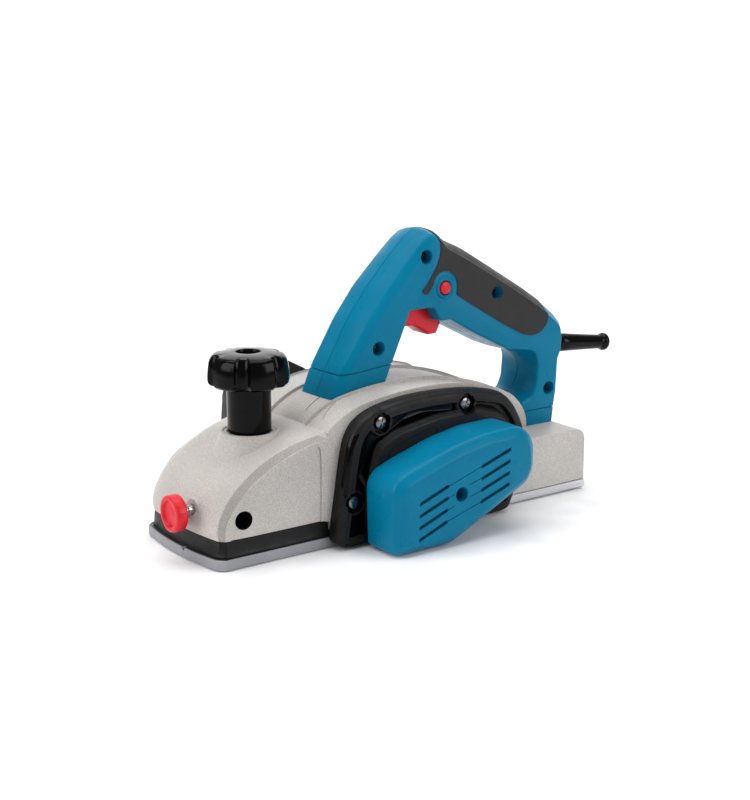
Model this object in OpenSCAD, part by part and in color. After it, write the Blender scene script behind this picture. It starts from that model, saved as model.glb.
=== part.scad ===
// Electric hand planer with an 82 mm cutter, seen along +Y from its belt side.
// Origin: on the flat face of the rear sole, in the middle of its width.
// -X is the front (depth knob), -Y the belt side, +Z up. Millimetres.

/* [Sole] */
// Width of both soles
sole_w = 90; // [88:1:92]
// Front end of the front shoe
shoe_front = -212.3; // [-214:0.1:-210]
// Rear end of the rear sole
sole_rear = 77.4; // [76:0.1:79]
// Thickness of the soles
sole_t = 6.2; // [5.5:0.1:6.5]

/* [Cutter] */
// Height of the drum axis, which is also the radius that the blades cut
drum_z = 23.5; // [23.3:0.1:23.7]
// Place of the drum axis along the planer
drum_x = -88; // [-88.5:0.1:-87.5]
// Radius of the drum's body
drum_r = 22.2; // [21.5:0.1:22.4]

/* [Drive] */
// Place of the motor axis along the planer
motor_x = -27.6; // [-28:0.1:-27]
// Height of the motor axis
motor_z = 46; // [45.5:0.1:46.5]
// Radius of the drum pulley
drum_pulley_r = 16; // [15.5:0.1:16.2]
// Radius of the motor pulley
motor_pulley_r = 10.5; // [10:0.1:10.8]
// Thickness of the belt
belt_t = 2.2; // [2:0.1:2.4]

/* [Depth knob] */
// Place of the knob's axis along the planer
knob_x = -159.5; // [-160:0.1:-159]
// Radius over the knob's lobes
knob_r = 24.8; // [24:0.1:25]

/* [Handle] */
// Half of the handle's width
handle_half = 19; // [18.5:0.1:19.5]
// Thickness of the handle's shell
handle_wall = 3; // [2.6:0.1:3.2]

/* [Hidden] */
$fn = 64;
half_w = sole_w / 2;
run = 0.06;        // radial clearance of a running fit
gap = 0.2;         // gap between pieces that pass each other
body_z = 17.5;     // lower edge of the casting round the front shoe
box_z = 42.3;      // top of the rear box
rod_x = -191;      // guide rod hole
rod_z = 28;
rod_r = 5.6;
screw_y = -14.5;   // guide thumb screw, along X
screw_z = 30.5;
boss_z = 68.2;     // top of the depth knob's boss
spindle_r = 4;
post_x = -138;     // guide posts of the front shoe
post_y = 26;
cover_y = -45.02;  // inner face of the side cover
plateau_y = -60;   // outer face of the side cover
belt_y = -88;      // outer face of the belt cover
chute_y = 57;      // face of the casting where the chip chute sits
lug_half = 4;      // half thickness of the casting's two handle lugs
trigger_pivot = [-46, 137];
lock_at = [-25.5, 144];
guard_root = [90, 92];   // cord guard's axis at the handle's rear wall
guard_tilt = 6;
chute_screw_at = [[-128.5, 58], [-83, 66]];
clamp_x = 66;            // cord clamp inside the rear leg of the handle

// Screws that join the handle halves, as [x, z]: the first and the last pass through lugs
handle_screw_at = [[-76.5, 110.6], [-39.4, 164.6], [18.6, 136.4], [66.6, 66.3]];
cover_screw_at = [[-101, 74.5], [-35.7, 77], [-121, 28.5], [-0.5, 22]];
sole_screw_at = [[-50, 33], [-50, -33], [64, 33], [64, -33]];

// ---- helpers -------------------------------------------------------------------------

function unit(v) = v / norm(v);

// Arc that rounds corner b of the path a, b, c with radius r
function corner_arc(a, b, c, r, n) =
  let (u = unit(a - b), v = unit(c - b), half = acos(max(-1, min(1, u * v))) / 2,
       o = b + unit(u + v) * r / sin(half), s = b + u * r / tan(half), e = b + v * r / tan(half),
       a1 = atan2(s[1] - o[1], s[0] - o[0]), a2 = atan2(e[1] - o[1], e[0] - o[0]),
       turn = (a2 - a1 + 540) % 360 - 180)
  [for (i = [0:n]) o + r * [cos(a1 + turn * i / n), sin(a1 + turn * i / n)]];

// Closed outline from points [x, y, corner radius]
function rounded(p, n = 6) =
  [for (i = [0:len(p) - 1])
    let (a = p[(i + len(p) - 1) % len(p)], b = p[i], c = p[(i + 1) % len(p)])
    each (b[2] == 0 ? [[b[0], b[1]]]
      : corner_arc([a[0], a[1]], [b[0], b[1]], [c[0], c[1]], b[2], n))];

// Plan of a nose: a bowed front with chamfered corners and a straight rear
function bowed_plan(front, hw, rear, bow = 3.4, cut = 4) = concat(
  [[rear, -hw], [rear, hw], [front + bow + cut, hw]],
  [for (i = [10:-1:-10]) [front + bow * pow(i / 10, 2), (hw - cut) * i / 10]],
  [[front + bow + cut, -hw]]);

// Extrudes an XZ outline from y0 to y1
module along_y(y0, y1) { translate([0, y1, 0]) rotate([90, 0, 0]) linear_extrude(y1 - y0) children(); }

module rod_y(at, r, y0, y1) { translate([at[0], y1, at[1]]) rotate([90, 0, 0]) cylinder(r = r,
  h = y1 - y0); }

module rod_x(y, z, r, x0, x1) { translate([x0, y, z]) rotate([0, 90, 0]) cylinder(r = r, h = x1 - x0); }

module rod_z(x, y, r, z0, z1) { translate([x, y, z0]) cylinder(r = r, h = z1 - z0); }

// Spring wire wound round +Z, as a closed tube of flat facets
module spring_wire(r, wire, height, turns, steps = 14, sides = 6) {
  count = turns * steps;
  rings = [for (i = [0:count]) let (a = 360 * i / steps, z = wire + (height - 2 * wire) * i / count)
    [for (k = [0:sides - 1]) let (b = 360 * k / sides, q = r + wire * cos(b))
      [q * cos(a), q * sin(a), z + wire * sin(b)]]];
  walls = [for (i = [0:count - 1]) for (k = [0:sides - 1]) let (m = (k + 1) % sides)
    each [[i * sides + k, (i + 1) * sides + k, (i + 1) * sides + m],
          [i * sides + k, (i + 1) * sides + m, i * sides + m]]];
  ends = [[for (k = [0:sides - 1]) k], [for (k = [sides - 1:-1:0]) count * sides + k]];
  polyhedron([for (ring = rings) each ring], concat(walls, ends));
}

// Pan-head screw with a cross slot, head up, its shank going down from z = 0
module screw(head_r, head_h, shank_r, shank) {
  difference() {
    union() { cylinder(r = head_r, h = head_h); translate([0, 0, -shank]) cylinder(r = shank_r,
      h = shank + 0.1); }
    for (a = [0, 90]) rotate(a) translate([-head_r * 0.6, -0.5, head_h - 1]) cube([head_r * 1.2, 1, 2]);
  }
}

// Screw whose head faces -Y at y
module screw_y(at, y, head_r, head_h, shank_r, shank) {
  translate([at[0], y, at[1]]) rotate([90, 0, 0]) screw(head_r, head_h, shank_r, shank);
}

// ---- body ----------------------------------------------------------------------------

nose_profile = [[-209, body_z], [-209.3, 24], [-208, 30], [-204.5, 37.5], [-199, 45], [-190.5, 53],
  [-180, 59.5], [-169, 64.2], [-158, 67.5], [-146, 70], [-128, 73.2], [-128, body_z]];
dome_profile = [[-131, 73.5], [-122, 77.5], [-111, 82], [-95, 85], [-80, 86.8], [-60, 87.8], [-44, 87.4],
  [-30, 85.6], [-15, 82.5], [0, 78.2], [15, 72.6], [28, 66.8], [34, 63], [40, 56], [44, 46]];
// Where the dome is as wide as the body, its rear end drops behind the side cover
dome_side = concat([for (p = dome_profile) if (p[0] < -14) p], [[-4.2, 79.1], [3.9, 71.8], [9.9, 62.6],
  [13.3, 54.6], [14.3, 47]]);
duct_profile = [[-124, 16], [-124, 69], [-114, 76], [-98, 78], [-92, 74], [-92, 40], [-108, 16]];

module casting_outside() {
  intersection() {
    hull() {
      along_y(-half_w, half_w) polygon([for (p = nose_profile) [min(p[0] + 6, -128), max(p[1] - 2.5,
        body_z)]]);
      along_y(-41, 41) polygon(nose_profile);
      along_y(-14, 14) polygon([for (p = nose_profile) [p[0] - 2.6, max(p[1] + 0.6, body_z)]]);
    }
    translate([0, 0, body_z]) linear_extrude(80) polygon(bowed_plan(-211.7, half_w, -120));
  }
  hull() {
    along_y(-half_w, half_w) polygon(concat([for (p = dome_side) [p[0], p[1] - 2]], [[14.3, 9.2], [-131,
      9.2]]));
    along_y(-42, 42) polygon(concat(dome_side, [[14.3, 9.2], [-131, 9.2]]));
  }
  along_y(-20, 20) polygon(concat(dome_profile, [[44, 9.2], [-131, 9.2]]));
  along_y(-half_w, half_w) polygon(rounded([[10, sole_t, 0], [10, box_z, 0], [sole_rear, box_z, 8],
    [sole_rear, sole_t, 0]]));
  along_y(-half_w, half_w) polygon([[-69, sole_t], [-69, 12], [44, 12], [44, sole_t]]);
  // Cheek beside the cutter, on the side that the cover leaves open
  along_y(42.4, half_w) polygon([[-103, 12], [-101, 1.5], [-72.2, 1.5], [-72.2, 12]]);
  // Chip discharge and bearing housing on the right
  along_y(44, chute_y) polygon(rounded([[-134, 34, 6], [-134, 70, 8], [-112, 80.5, 10], [-82, 84, 10],
    [-76, 34, 6]]));
  rod_y([drum_x, drum_z], 17, 44, 55);
  rod_y([motor_x, motor_z], 15, 44, 48);
}

module casting_inside() {
  along_y(-41, 41) polygon([[-205, 0], [-205, 27], [-202, 34], [-196, 42], [-187, 49.5], [-177, 55],
    [-166, 59.5],
    [-155, 62.5], [-143, 65.2], [-129, 67], [-129, 0]]);
  linear_extrude(body_z + 3.6) polygon(bowed_plan(-210.1, 43.6, -131));
  rod_y([drum_x, drum_z], 25.2, -46, 42);
  along_y(-41, 41) polygon(duct_profile);
  along_y(40, chute_y + 1) polygon(rounded([[-122, 48, 6], [-122, 68, 8], [-111, 75, 8], [-94, 75, 6],
    [-94, 48, 6]]));
  rod_y([motor_x, motor_z], 30, -46, 34.5);
  along_y(-41, 41) polygon([[8, 0], [8, 38.5], [68, 38.5], [73.4, 33], [73.4, 0]]);
  along_y(-17, 17) polygon([[8, 0], [8, 62], [19, 60], [31, 52], [39, 38.5], [39, 0]]);
  // Mouth of the cutter chamber, open downwards
  along_y(-42, 42.4) polygon([[-124, 0], [-124, 20], [-64, 20], [-64, 0]]);
}

// Lugs of the casting that stand inside the two handle feet
module handle_lugs(extra) along_y(-lug_half - extra, lug_half + extra) offset(delta = extra) {
  polygon([[-92, 80], [-79, 80], [-73.5, 104], [-71, 117], [-83, 117], [-92, 100]]);
  polygon([[60, 38], [60, 73], [72, 73], [72, 38]]);
}

module body_casting() color("gainsboro") difference() {
  union() {
    difference() { casting_outside(); casting_inside(); }
    rod_y([rod_x, rod_z], 8.5, -42, 42);
    rod_x(screw_y, screw_z, 6.5, -208, rod_x);
    intersection() {
      translate([knob_x, 0, 49]) cylinder(r1 = 25.2, r2 = 17.4, h = boss_z - 49, $fn = 64);
      union() { rod_z(knob_x, 0, 18, 56, 80); translate([-190, -26, 61]) cube([60, 52, 20]);
        translate([-190, -26, 53.5]) cube([19, 52, 20]); }
    }
    for (s = [-1, 1]) rod_z(post_x, s * post_y, 8.5, 30, 67);
    handle_lugs(0);
    for (p = cover_screw_at) rod_y(p, 5, -43, -34);
    // Columns for the sole screws
    for (p = sole_screw_at) if (p[0] > 0) rod_z(p[0], p[1], 5.5, sole_t, 40);
  }
  rod_y([rod_x, rod_z], rod_r, -50, 50);
  rod_x(screw_y, screw_z, 3 + run, -215, rod_x);
  rod_z(knob_x, 0, spindle_r + run, 40, 80);
  rod_z(knob_x, 0, 13.9, 66.2, 80);
  for (s = [-1, 1]) rod_z(post_x, s * post_y, 5 + run, 20, 56);
  rod_y([drum_x, drum_z], 13, 41, 51);
  rod_y([motor_x, motor_z], 11, 34, 42);
  for (i = [0, 3]) rod_y(handle_screw_at[i], 2.3, -10, 10);
  for (p = sole_screw_at) rod_z(p[0], p[1], 2, 0, 18);
  for (p = cover_screw_at) rod_y(p, 2, -60, -34.5);
  for (p = chute_screw_at) rod_y(p, 1.95, 46, 60);
  // Air slots on the right, round the commutator end of the motor
  for (i = [-3:3]) translate([motor_x - 25 + abs(i), 30, motor_z - 1.5 + i * 6])
    cube([i == 0 || abs(i) == 1 ? 8 : 12, 30, 3]);
  for (i = [-3:3]) translate([motor_x + 13 + abs(i), 30, motor_z - 1.5 + i * 6])
    cube([i == 0 || abs(i) == 1 ? 8 : 12 - abs(i), 30, 3]);
}

module rear_sole() color("silver") difference() {
  along_y(-half_w, half_w) polygon([[-69.6, 0], [-71.4, sole_t], [sole_rear, sole_t], [sole_rear, 2],
    [sole_rear - 2, 0]]);
  for (p = sole_screw_at) { rod_z(p[0], p[1], 2.2, -1, 8); translate([p[0], p[1],
    0.5]) cylinder(r1 = 4.6, r2 = 2.2, h = 2.4);
    rod_z(p[0], p[1], 4.6, -1, 0.51); }
}

module rear_sole_screws() color("dimgray") for (p = sole_screw_at) difference() {
  union() {
    rod_z(p[0], p[1], 4.5, 0.3, 0.6);
    translate([p[0], p[1], 0.6]) cylinder(r1 = 4.5, r2 = 2, h = 2.4);
    rod_z(p[0], p[1], 1.95, 2, 16);
  }
  for (a = [0, 90]) translate([p[0], p[1], -1]) rotate(a) cube([5, 0.9, 4], center = true);
}

cover_outline = [[-128, 0.6, 2], [-133.2, 8, 3], [-128.5, 36, 30], [-124.5, 70, 16], [-100, 86.6, 40],
  [-58, 87.6, 60],
  [-12, 83.5, 60], [12.5, 66, 22], [15.5, 40, 20], [4.5, 7, 8], [-6, 0.6, 3]];
plateau_outline = [[-110, 4, 3], [-110, 50, 10], [-104, 66, 12], [-60, 75, 60], [-24, 76, 30], [-1, 68,
  14], [6, 46, 12], [-4, 12, 6], [-14, 4, 3]];

module side_cover() color("#202020") difference() {
  union() {
    along_y(-50, cover_y) polygon(rounded(cover_outline));
    along_y(-55.5, -50) offset(delta = -2.2) polygon(rounded(cover_outline));
    along_y(plateau_y, -55.5) polygon(rounded(plateau_outline));
  }
  difference() {
    along_y(-53, -45) offset(delta = -3) polygon(rounded(cover_outline));
    rod_y([drum_x, drum_z], 16, -60, -40);
    rod_y([motor_x, motor_z], 14, -60, -40);
    for (p = cover_screw_at) rod_y(p, 8, -60, -40);
  }
  rod_y([drum_x, drum_z], 13, -54, -44);
  rod_y([drum_x, drum_z], 7, -62, -50);
  rod_y([motor_x, motor_z], 11, -54, -44);
  rod_y([motor_x, motor_z], 5.5, -62, -50);
  for (p = cover_screw_at) { rod_y(p, 2.2, -62, -44); rod_y(p, 6.2, -62, -52); }
  rod_y([-65, 32], 2, -61, -53);
}

module side_cover_screws() color("dimgray") for (p = cover_screw_at) screw_y(p, -52, 3.6, 2.4, 1.95, 16);

belt_outline = [[-114.5, 0.7, 2], [-114.6, 46.5, 16], [-66, 63, 120], [-5.4, 66.8, 18], [-5.2, 32, 18],
  [-30, 20, 30],
  [-68, 0.9, 10]];

module belt_cover() color("#0085ac") difference() {
  union() {
    along_y(-83.5, plateau_y - 0.05) polygon(rounded(belt_outline));
    along_y(-86, -83.5) offset(delta = -1.4) polygon(rounded(belt_outline));
    along_y(belt_y, -86) offset(delta = -4) polygon(rounded(belt_outline));
  }
  difference() {
    along_y(-84, plateau_y + 1) offset(delta = -2.4) polygon(rounded(belt_outline));
    rod_y([-65, 32], 5.6, -90, -58);
  }
  rod_y([-65, 32], 4.2, -90, -74);
  rod_y([-65, 32], 2.2, -90, -58);
  // Two sets of four cooling slots, leaning with the belt
  for (i = [0:3]) for (s = [[-97.4, 8.8], [-50.6, 23.8]])
    translate([s[0], -95, s[1] + i * 7.5]) rotate([0, -19.5, 0]) cube([23.5, 20, 2.4]);
}

module belt_cover_screw() color("dimgray") screw_y([-65, 32], -74, 3.8, 2.4, 1.95, 20);

chute_outline = [[-140, 50, 6], [-138, 76, 8], [-116, 94.5, 12], [-96, 93.5, 14], [-78, 84, 8], [-78, 56,
  8], [-92, 48, 8]];
chute_hole = [-108, 66];

module chip_chute() color("#3c3c3e") difference() {
  union() {
    difference() {
      along_y(chute_y + 0.02, 70) polygon(rounded(chute_outline));
      along_y(chute_y + 3, 67.5) offset(delta = -2.5) polygon(rounded(chute_outline));
    }
    rod_y(chute_hole, 18, 67.5, 80);
    for (p = chute_screw_at) rod_y(p, 4.5, chute_y + 0.02, 70);
  }
  along_y(chute_y - 1, chute_y + 4)
    polygon(rounded([[-121, 54, 5], [-121, 67, 7], [-110.5, 74, 7], [-95, 74, 6], [-95, 54, 5]]));
  rod_y(chute_hole, 16, 67.4, 81);
  for (p = chute_screw_at) rod_y(p, 2.1, 50, 72);
}

module chip_chute_screws() color("dimgray") for (p = chute_screw_at)
  translate([p[0], 70.02, p[1]]) rotate([-90, 0, 0]) screw(3.6, 2.2, 1.9, 22);

// ---- front shoe ----------------------------------------------------------------------

module front_shoe() color("silver") difference() {
  union() {
    difference() {
      linear_extrude(6.5) polygon(bowed_plan(shoe_front, half_w - gap, -100));
      along_y(-50, 50) polygon([[-104.5, -1], [-104.5, 0], [-109.4, 7], [-90, 7], [-90, -1]]);
      // Pointer notch on the front lip
      translate([-210.4, -9, 6.1]) rotate([0, 0, 45]) cube([3, 3, 2], center = true);
    }
    rod_z(knob_x, 0, 13.5, 6.4, 28);
    for (s = [-1, 1]) rod_z(post_x, s * post_y, 5, 6.4, 50);
    for (y = [-36, 36]) translate([-196, y - 2, 6.4]) cube([60, 4, 9]);
  }
  rod_z(knob_x, 0, spindle_r + run, 9, 30);
}

module front_shoe_skirt() color("#2b2b2b") translate([0, 0, 6.5]) linear_extrude(10.7) difference() {
  polygon(bowed_plan(-209.8, 43.3, -134));
  polygon(bowed_plan(-206.8, 40.7, -130, 2.6));
}

// ---- depth adjustment ----------------------------------------------------------------

module depth_knob() color("#141414") difference() {
  union() {
    intersection() {
      translate([knob_x, 0, 0]) rotate_extrude() polygon([[0, 92], [18, 92.5], [22.5, 94.5], [knob_r,
        98.5], [knob_r, 110],
        [23.4, 114], [19, 116], [0, 116.4]]);
      difference() {
        rod_z(knob_x, 0, 30, 90, 120);
        for (i = [0:5]) rotate_about(knob_x, i * 60 + 49.5) rod_z(knob_x + 34, 0, 12.5, 90, 120);
      }
    }
    rod_z(knob_x, 0, 13.35, 66.6, 93);
  }
  rod_z(knob_x, 0, spindle_r, 60, 110);
  rod_z(knob_x, 0, 7.2, 110, 120);
}

module rotate_about(x, a) { translate([x, 0, 0]) rotate(a) translate([-x, 0, 0]) children(); }

module depth_spindle() color("silver") difference() {
  union() { rod_z(knob_x, 0, spindle_r, 11.5, 110); rod_z(knob_x, 0, 6, 110, 113); }
  rotate_about(knob_x, 30) translate([knob_x - 4, -0.6, 112]) cube([8, 1.2, 2]);
  translate([knob_x, 0, 0]) rotate_extrude() translate([spindle_r - 0.6, 53.9]) square([2, 1.4]);
}

module depth_retaining_ring() color("#303030") difference() {
  rod_z(knob_x, 0, 7.5, 54, 55.2);
  rod_z(knob_x, 0, spindle_r - 0.55, 53, 56);
  translate([knob_x, -1.6, 53]) cube([10, 3.2, 3]);
}

module depth_spring() color("silver") translate([knob_x, 0, 28.1]) spring_wire(10.6, 0.8, 27.6, 7);

// ---- guide thumb screw ---------------------------------------------------------------

thumb_x = -224;          // outer face of the thumb knob
thumb_t = 7.6;

module guide_thumb_knob() color("#e11e32") difference() {
  rod_x(screw_y, screw_z, 11.1, thumb_x, thumb_x + thumb_t);
  rod_x(screw_y, screw_z, 7.6, thumb_x - 1, thumb_x + 1.4);
  for (i = [0:17]) translate([thumb_x + 4.6, screw_y, screw_z]) rotate([i * 20, 0, 0])
    translate([0, 0, 11.3]) cube([5, 0.8, 0.9], center = true);
  rod_x(screw_y, screw_z, 3, thumb_x + 3, thumb_x + 9);
}

module guide_screw_stud() color("silver") rod_x(screw_y, screw_z, 3, thumb_x + 3, -197.6);

module guide_screw_washer() color("silver") difference() {
  rod_x(screw_y, screw_z, 6, thumb_x + thumb_t + 0.02, thumb_x + thumb_t + 0.82);
  rod_x(screw_y, screw_z, 3.1, thumb_x + thumb_t - 1, thumb_x + thumb_t + 2);
}

module guide_screw_spring() color("#444444") translate([thumb_x + thumb_t + 0.85, screw_y, screw_z])
  rotate([0, 90, 0]) spring_wire(4.4, 0.35, 3.5, 2, 16);

// ---- handle --------------------------------------------------------------------------

// Points along the top of the casting, where the front foot stands
function dome_z(x) = lookup(x, dome_profile) + 0.02;
function foot(xs) = [for (x = xs) [x, dome_z(x), 0]];

// Outline at the parting plane, from the front foot over the grip to the rear foot and back
handle_outline = concat([[-112, dome_z(-112), 0], [-105.5, 97, 60], [-88, 127, 60], [-60, 161.5, 60],
  [-35, 183.5, 10],
  [-10, 170, 80], [66, 126.5, 40], [84.5, 111.5, 10], [85.5, 91, 5], [78.8, 86, 5], [78.4, 64, 20],
  [75, box_z + 0.02, 0], [46.4, box_z + 0.02, 0], [46.4, 46, 0], [39.5, 57.2, 0], [39.5, 60, 0], [50.5,
    64.2, 8],
  [55.5, 76, 20], [53.5, 90, 8], [30, 96, 20], [-18, 122.5, 6], [-27.5, 121, 5], [-35, 132, 4], [-51.5,
    132, 3],
  [-61.5, 109.5, 60], [-66.8, 98, 30]], foot([-71, -80, -95, -111]));
// Side face of the handle, set back from the front edge by a broad bevel
side_outline = concat([[-104, dome_z(-104), 0], [-97, 98, 60], [-78, 123, 60], [-58, 146, 60], [-40, 175,
  8],
  [-28, 177, 8], [-10, 166.5, 80], [66, 122, 40], [78, 109, 8], [78, 92, 5], [74.5, 86, 5], [74, 62, 20],
  [71, box_z + 0.02, 0], [46.4, box_z + 0.02, 0], [46.4, 46, 0], [41, 55, 0], [41, 59, 0], [52.5, 62, 8],
  [57, 76, 20], [55, 92, 8], [30, 97.5, 20], [-19, 124.5, 6], [-27.5, 122.5, 5], [-33, 134, 4], [-52.6,
    134, 3],
  [-62.5, 109.5, 60], [-67.8, 98, 30]], foot([-71.6, -80, -95]));

module handle_slab(y0, y1, inset = 0) along_y(y0,
  y1) offset(delta = -inset) polygon(rounded(handle_outline));

module handle_shell(s) {
  mirror([0, s > 0 ? 1 : 0, 0]) difference() {
    union() {
      difference() {
        union() {
          handle_slab(-11, 0);
          handle_slab(-15, -11, 1);
          along_y(-handle_half, -15) polygon(rounded(side_outline));
          rod_y(lock_at, 9, -handle_half - 1.6, -12);
        }
        handle_slab(-12, 0.01, handle_wall + 1);
        along_y(-handle_half + handle_wall,
          -11.9) offset(delta = -handle_wall) polygon(rounded(side_outline));
      }
      for (i = [0:3]) rod_y(handle_screw_at[i], 5, -handle_half + 2,
        i == 0 || i == 3 ? -lug_half - 0.02 : 0);
      rod_y(trigger_pivot, 4, -handle_half + 2, -9.2);
      // Pillar under the cord clamp
      translate([clamp_x - 4, -handle_half + 2, 74]) cube([8, 13.5, 10]);
    }
    for (p = handle_screw_at) rod_y(p, s > 0 ? 1.9 : 2.2, s > 0 ? -handle_half + 4 : -30, 1);
    if (s < 0) for (p = handle_screw_at) rod_y(p, 4.1, -30, -11);
    // Seat of the cord guard
    translate([guard_root[0], 0, guard_root[1]]) rotate([0, 90 + guard_tilt, 0]) {
      translate([0, 0, -17]) cylinder(r = 6.6, h = 40);
      translate([0, 0, -10]) cylinder(r = 8.2, h = 3.4);
    }
    // Slot of the trigger
    translate([-51.8, -9.2, 110]) cube([35.3, 20, 32]);
    rod_y(trigger_pivot, 1.5, -12, 1);
    if (s < 0) rod_y(lock_at, 4.8, -30, 0);
    rod_z(clamp_x, -7, 1.6, 77, 90);
    handle_lugs(gap);
  }
}

module handle_left() color("#0085ac") handle_shell(-1);
module handle_right() color("#0085ac") handle_shell(1);

grip_outline = [[-46, 146, 0], [-38, 153, 20], [-28, 165, 10], [-27.5, 174, 4], [-10, 166, 80], [56,
  127.6, 30], [67, 119, 6],
  [62, 107, 8], [48, 103, 10], [30, 110, 20], [-13, 135.5, 3], [-14.5, 140, 2], [-18, 153, 6], [-31,
    153.5, 6], [-36.5, 145, 4]];

// Soft skin that lies on the side of the grip
module grip_skin(s) {
  mirror([0, s > 0 ? 1 : 0, 0]) difference() {
    along_y(-handle_half - 1.2, -handle_half - 0.02) polygon(rounded(grip_outline));
    rod_y(handle_screw_at[2], 4.3, -30, 0);
    rod_y(lock_at, 9.4, -30, 0);
  }
}

module grip_left() color("#3a3a3c") grip_skin(-1);
module grip_right() color("#3a3a3c") grip_skin(1);

module handle_screws() color("dimgray") for (p = handle_screw_at) screw_y(p, -11, 3.6, 2.4, 1.85, 24);

module trigger() color("#e11e32") difference() {
  along_y(-9, 9) polygon(rounded([[-50, 119.4, 2], [-50.6, 140.4, 3], [-42, 140.8, 3], [-38, 131.4, 4],
    [-25, 127.6, 4],
    [-20.6, 119.6, 3], [-24.5, 112.8, 2.5], [-32.5, 113.4, 4], [-40, 119.2, 8]]));
  rod_y(trigger_pivot, 1.5 + run, -10, 10);
}

module trigger_pin() color("silver") rod_y(trigger_pivot, 1.5, -11.9, 11.9);

module lock_button() color("#e11e32") {
  rod_y(lock_at, 4.5, -handle_half - 2.6, -12);
  rod_y(lock_at, 2.2, -12.1, -6.2);
}

// Switch box, in line with the sloping grip
grip_slope = 28;

module switch_body() color("#26262a") translate([-20, -9, 134]) rotate([0, grip_slope, 0]) difference() {
  translate([-15, 0, 2]) cube([40, 18, 14]);
  rod_y([-9.55, 6.25], 3, -1, 7);
}

module capacitor() color("#c9a227") translate([40, -7, 112]) rotate([0, grip_slope, 0]) cube([16, 14, 9]);

module cord_guard() color("#161616") translate([guard_root[0], 0, guard_root[1]]) rotate([0,
  90 + guard_tilt, 0])
  rotate_extrude() polygon([[3.3, -16], [6.5, -16], [6.5, -9.9], [8, -9.9], [8, -6.8], [6.5, -6.8], [6.4,
    8], [5, 42],
    [6, 44.5], [6, 46.5], [5.4, 47.4], [3.3, 47.4]]);

module cord_clamp() color("#26262a") difference() {
  translate([clamp_x - 4, -9.5, 84.02]) cube([8, 19, 4]);
  for (y = [-7, 7]) rod_z(clamp_x, y, 1.6, 80, 90);
  translate([clamp_x, 0, 94.5]) rotate([0, 90 + guard_tilt, 0]) translate([0, 0, -10]) cylinder(r = 7,
    h = 20);
}

module cord_clamp_screws() color("dimgray") for (y = [-7, 7]) translate([clamp_x, y, 88.04]) screw(2.9,
  1.8, 1.55, 9);

// ---- cutter --------------------------------------------------------------------------

module about_drum() { translate([drum_x, 0, drum_z]) children(); }

// Slot for one blade and its clamp, cut beside the drum's axis on the +X side
module blade_slot() translate([11.4, -42, -3.4]) cube([20, 84, 8.9]);

module cutter_drum() color("#8d8f92") about_drum() difference() {
  union() {
    rod_y([0, 0], drum_r, -41, 41);
    rod_y([0, 0], 5, -50, 50.5);
    rod_y([0, 0], 8, -45, 43.4);
    rod_y([0, 0], 5, -83.5, -49);
  }
  for (a = [0, 180]) rotate([0, a, 0]) {
    blade_slot();
    for (y = [-30, 0, 30]) translate([15, y, -8]) cylinder(r = 2.6, h = 8);
  }
}

module blades() color("#cfd2d6") about_drum() for (a = [0, 180]) rotate([0, a, 0])
  along_y(-41, 41) polygon([[13, 3.9], [13, 5.4], [22.85, 5.4], [22.1, 3.9]]);

module blade_clamps() color("#6f7276") about_drum() for (a = [0, 180]) rotate([0, a, 0]) difference() {
  along_y(-40.8, 40.8) polygon([[11.5, -3.3], [11.5, 3.85], [21.3, 3.85], [21.6, 1], [21.9, -3.3]]);
  for (y = [-30, 0, 30]) translate([15, y, -9]) cylinder(r = 2.6, h = 8.2);
}

module blade_screws() color("#3a3a3c") about_drum() for (a = [0, 180]) rotate([0, a, 0])
  for (y = [-30, 0, 30]) translate([15, y, -7.9]) cylinder(r = 2.55, h = 7);

// Ball bearing shown as one ring with grooved faces
module bearing(at, y0, y1, bore_r, out_r) {
  mid = (bore_r + out_r) / 2;
  translate([at[0], y1, at[1]]) rotate([90, 0, 0]) difference() {
    cylinder(r = out_r, h = y1 - y0);
    translate([0, 0, -1]) cylinder(r = bore_r, h = y1 - y0 + 2);
    for (z = [-0.01, y1 - y0 - 0.6]) translate([0, 0, z]) difference() {
      cylinder(r = mid + 1.8, h = 0.61);
      translate([0, 0, -1]) cylinder(r = mid - 1.8, h = 3);
    }
  }
}

module drum_bearings() color("#b5b8bb") {
  bearing([drum_x, drum_z], 43.5, 51, 5 + run, 13);
  bearing([drum_x, drum_z], -54, -46, 5 + run, 13);
}

module pulley(r, bore_r, y0, y1) {
  rib = 1.8;
  count = 6;
  translate([0, y1, 0]) rotate([90, 0, 0]) rotate_extrude() difference() {
    translate([bore_r, 0]) square([r - bore_r + 1.6, y1 - y0]);
    translate([r, 1.6]) square([3, y1 - y0 - 3.2]);
    for (i = [0:count - 1]) translate([r + 0.01, 1.6 + 0.9 + i * rib]) polygon([[0, -0.7], [-1.2, 0], [0,
      0.7]]);
  }
}

module drum_pulley() color("#9a9da0") about_drum() pulley(drum_pulley_r, 5, -81, -67);
module motor_pulley() color("#9a9da0") translate([motor_x, 0, motor_z]) pulley(motor_pulley_r, 4, -81, -67);

module drum_pulley_nut() color("#6f7276") about_drum() difference() {
  translate([0, -81.02, 0]) rotate([90, 0, 0]) cylinder(r = 8, h = 2.6, $fn = 6);
  rod_y([0, 0], 5, -90, -70);
}

module belt_loop(extra) {
  hull() {
    translate([drum_x, drum_z]) circle(drum_pulley_r + extra);
    translate([motor_x, motor_z]) circle(motor_pulley_r + extra);
  }
}

module drive_belt() color("#1c1c1c") along_y(-79.2, -68.8) difference() { belt_loop(0.3 + belt_t);
  belt_loop(0.3); }

// ---- motor ---------------------------------------------------------------------------

module about_motor() { translate([motor_x, 0, motor_z]) children(); }

module armature_shaft() color("silver") about_motor() rod_y([0, 0], 4, -82, 42);

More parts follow.
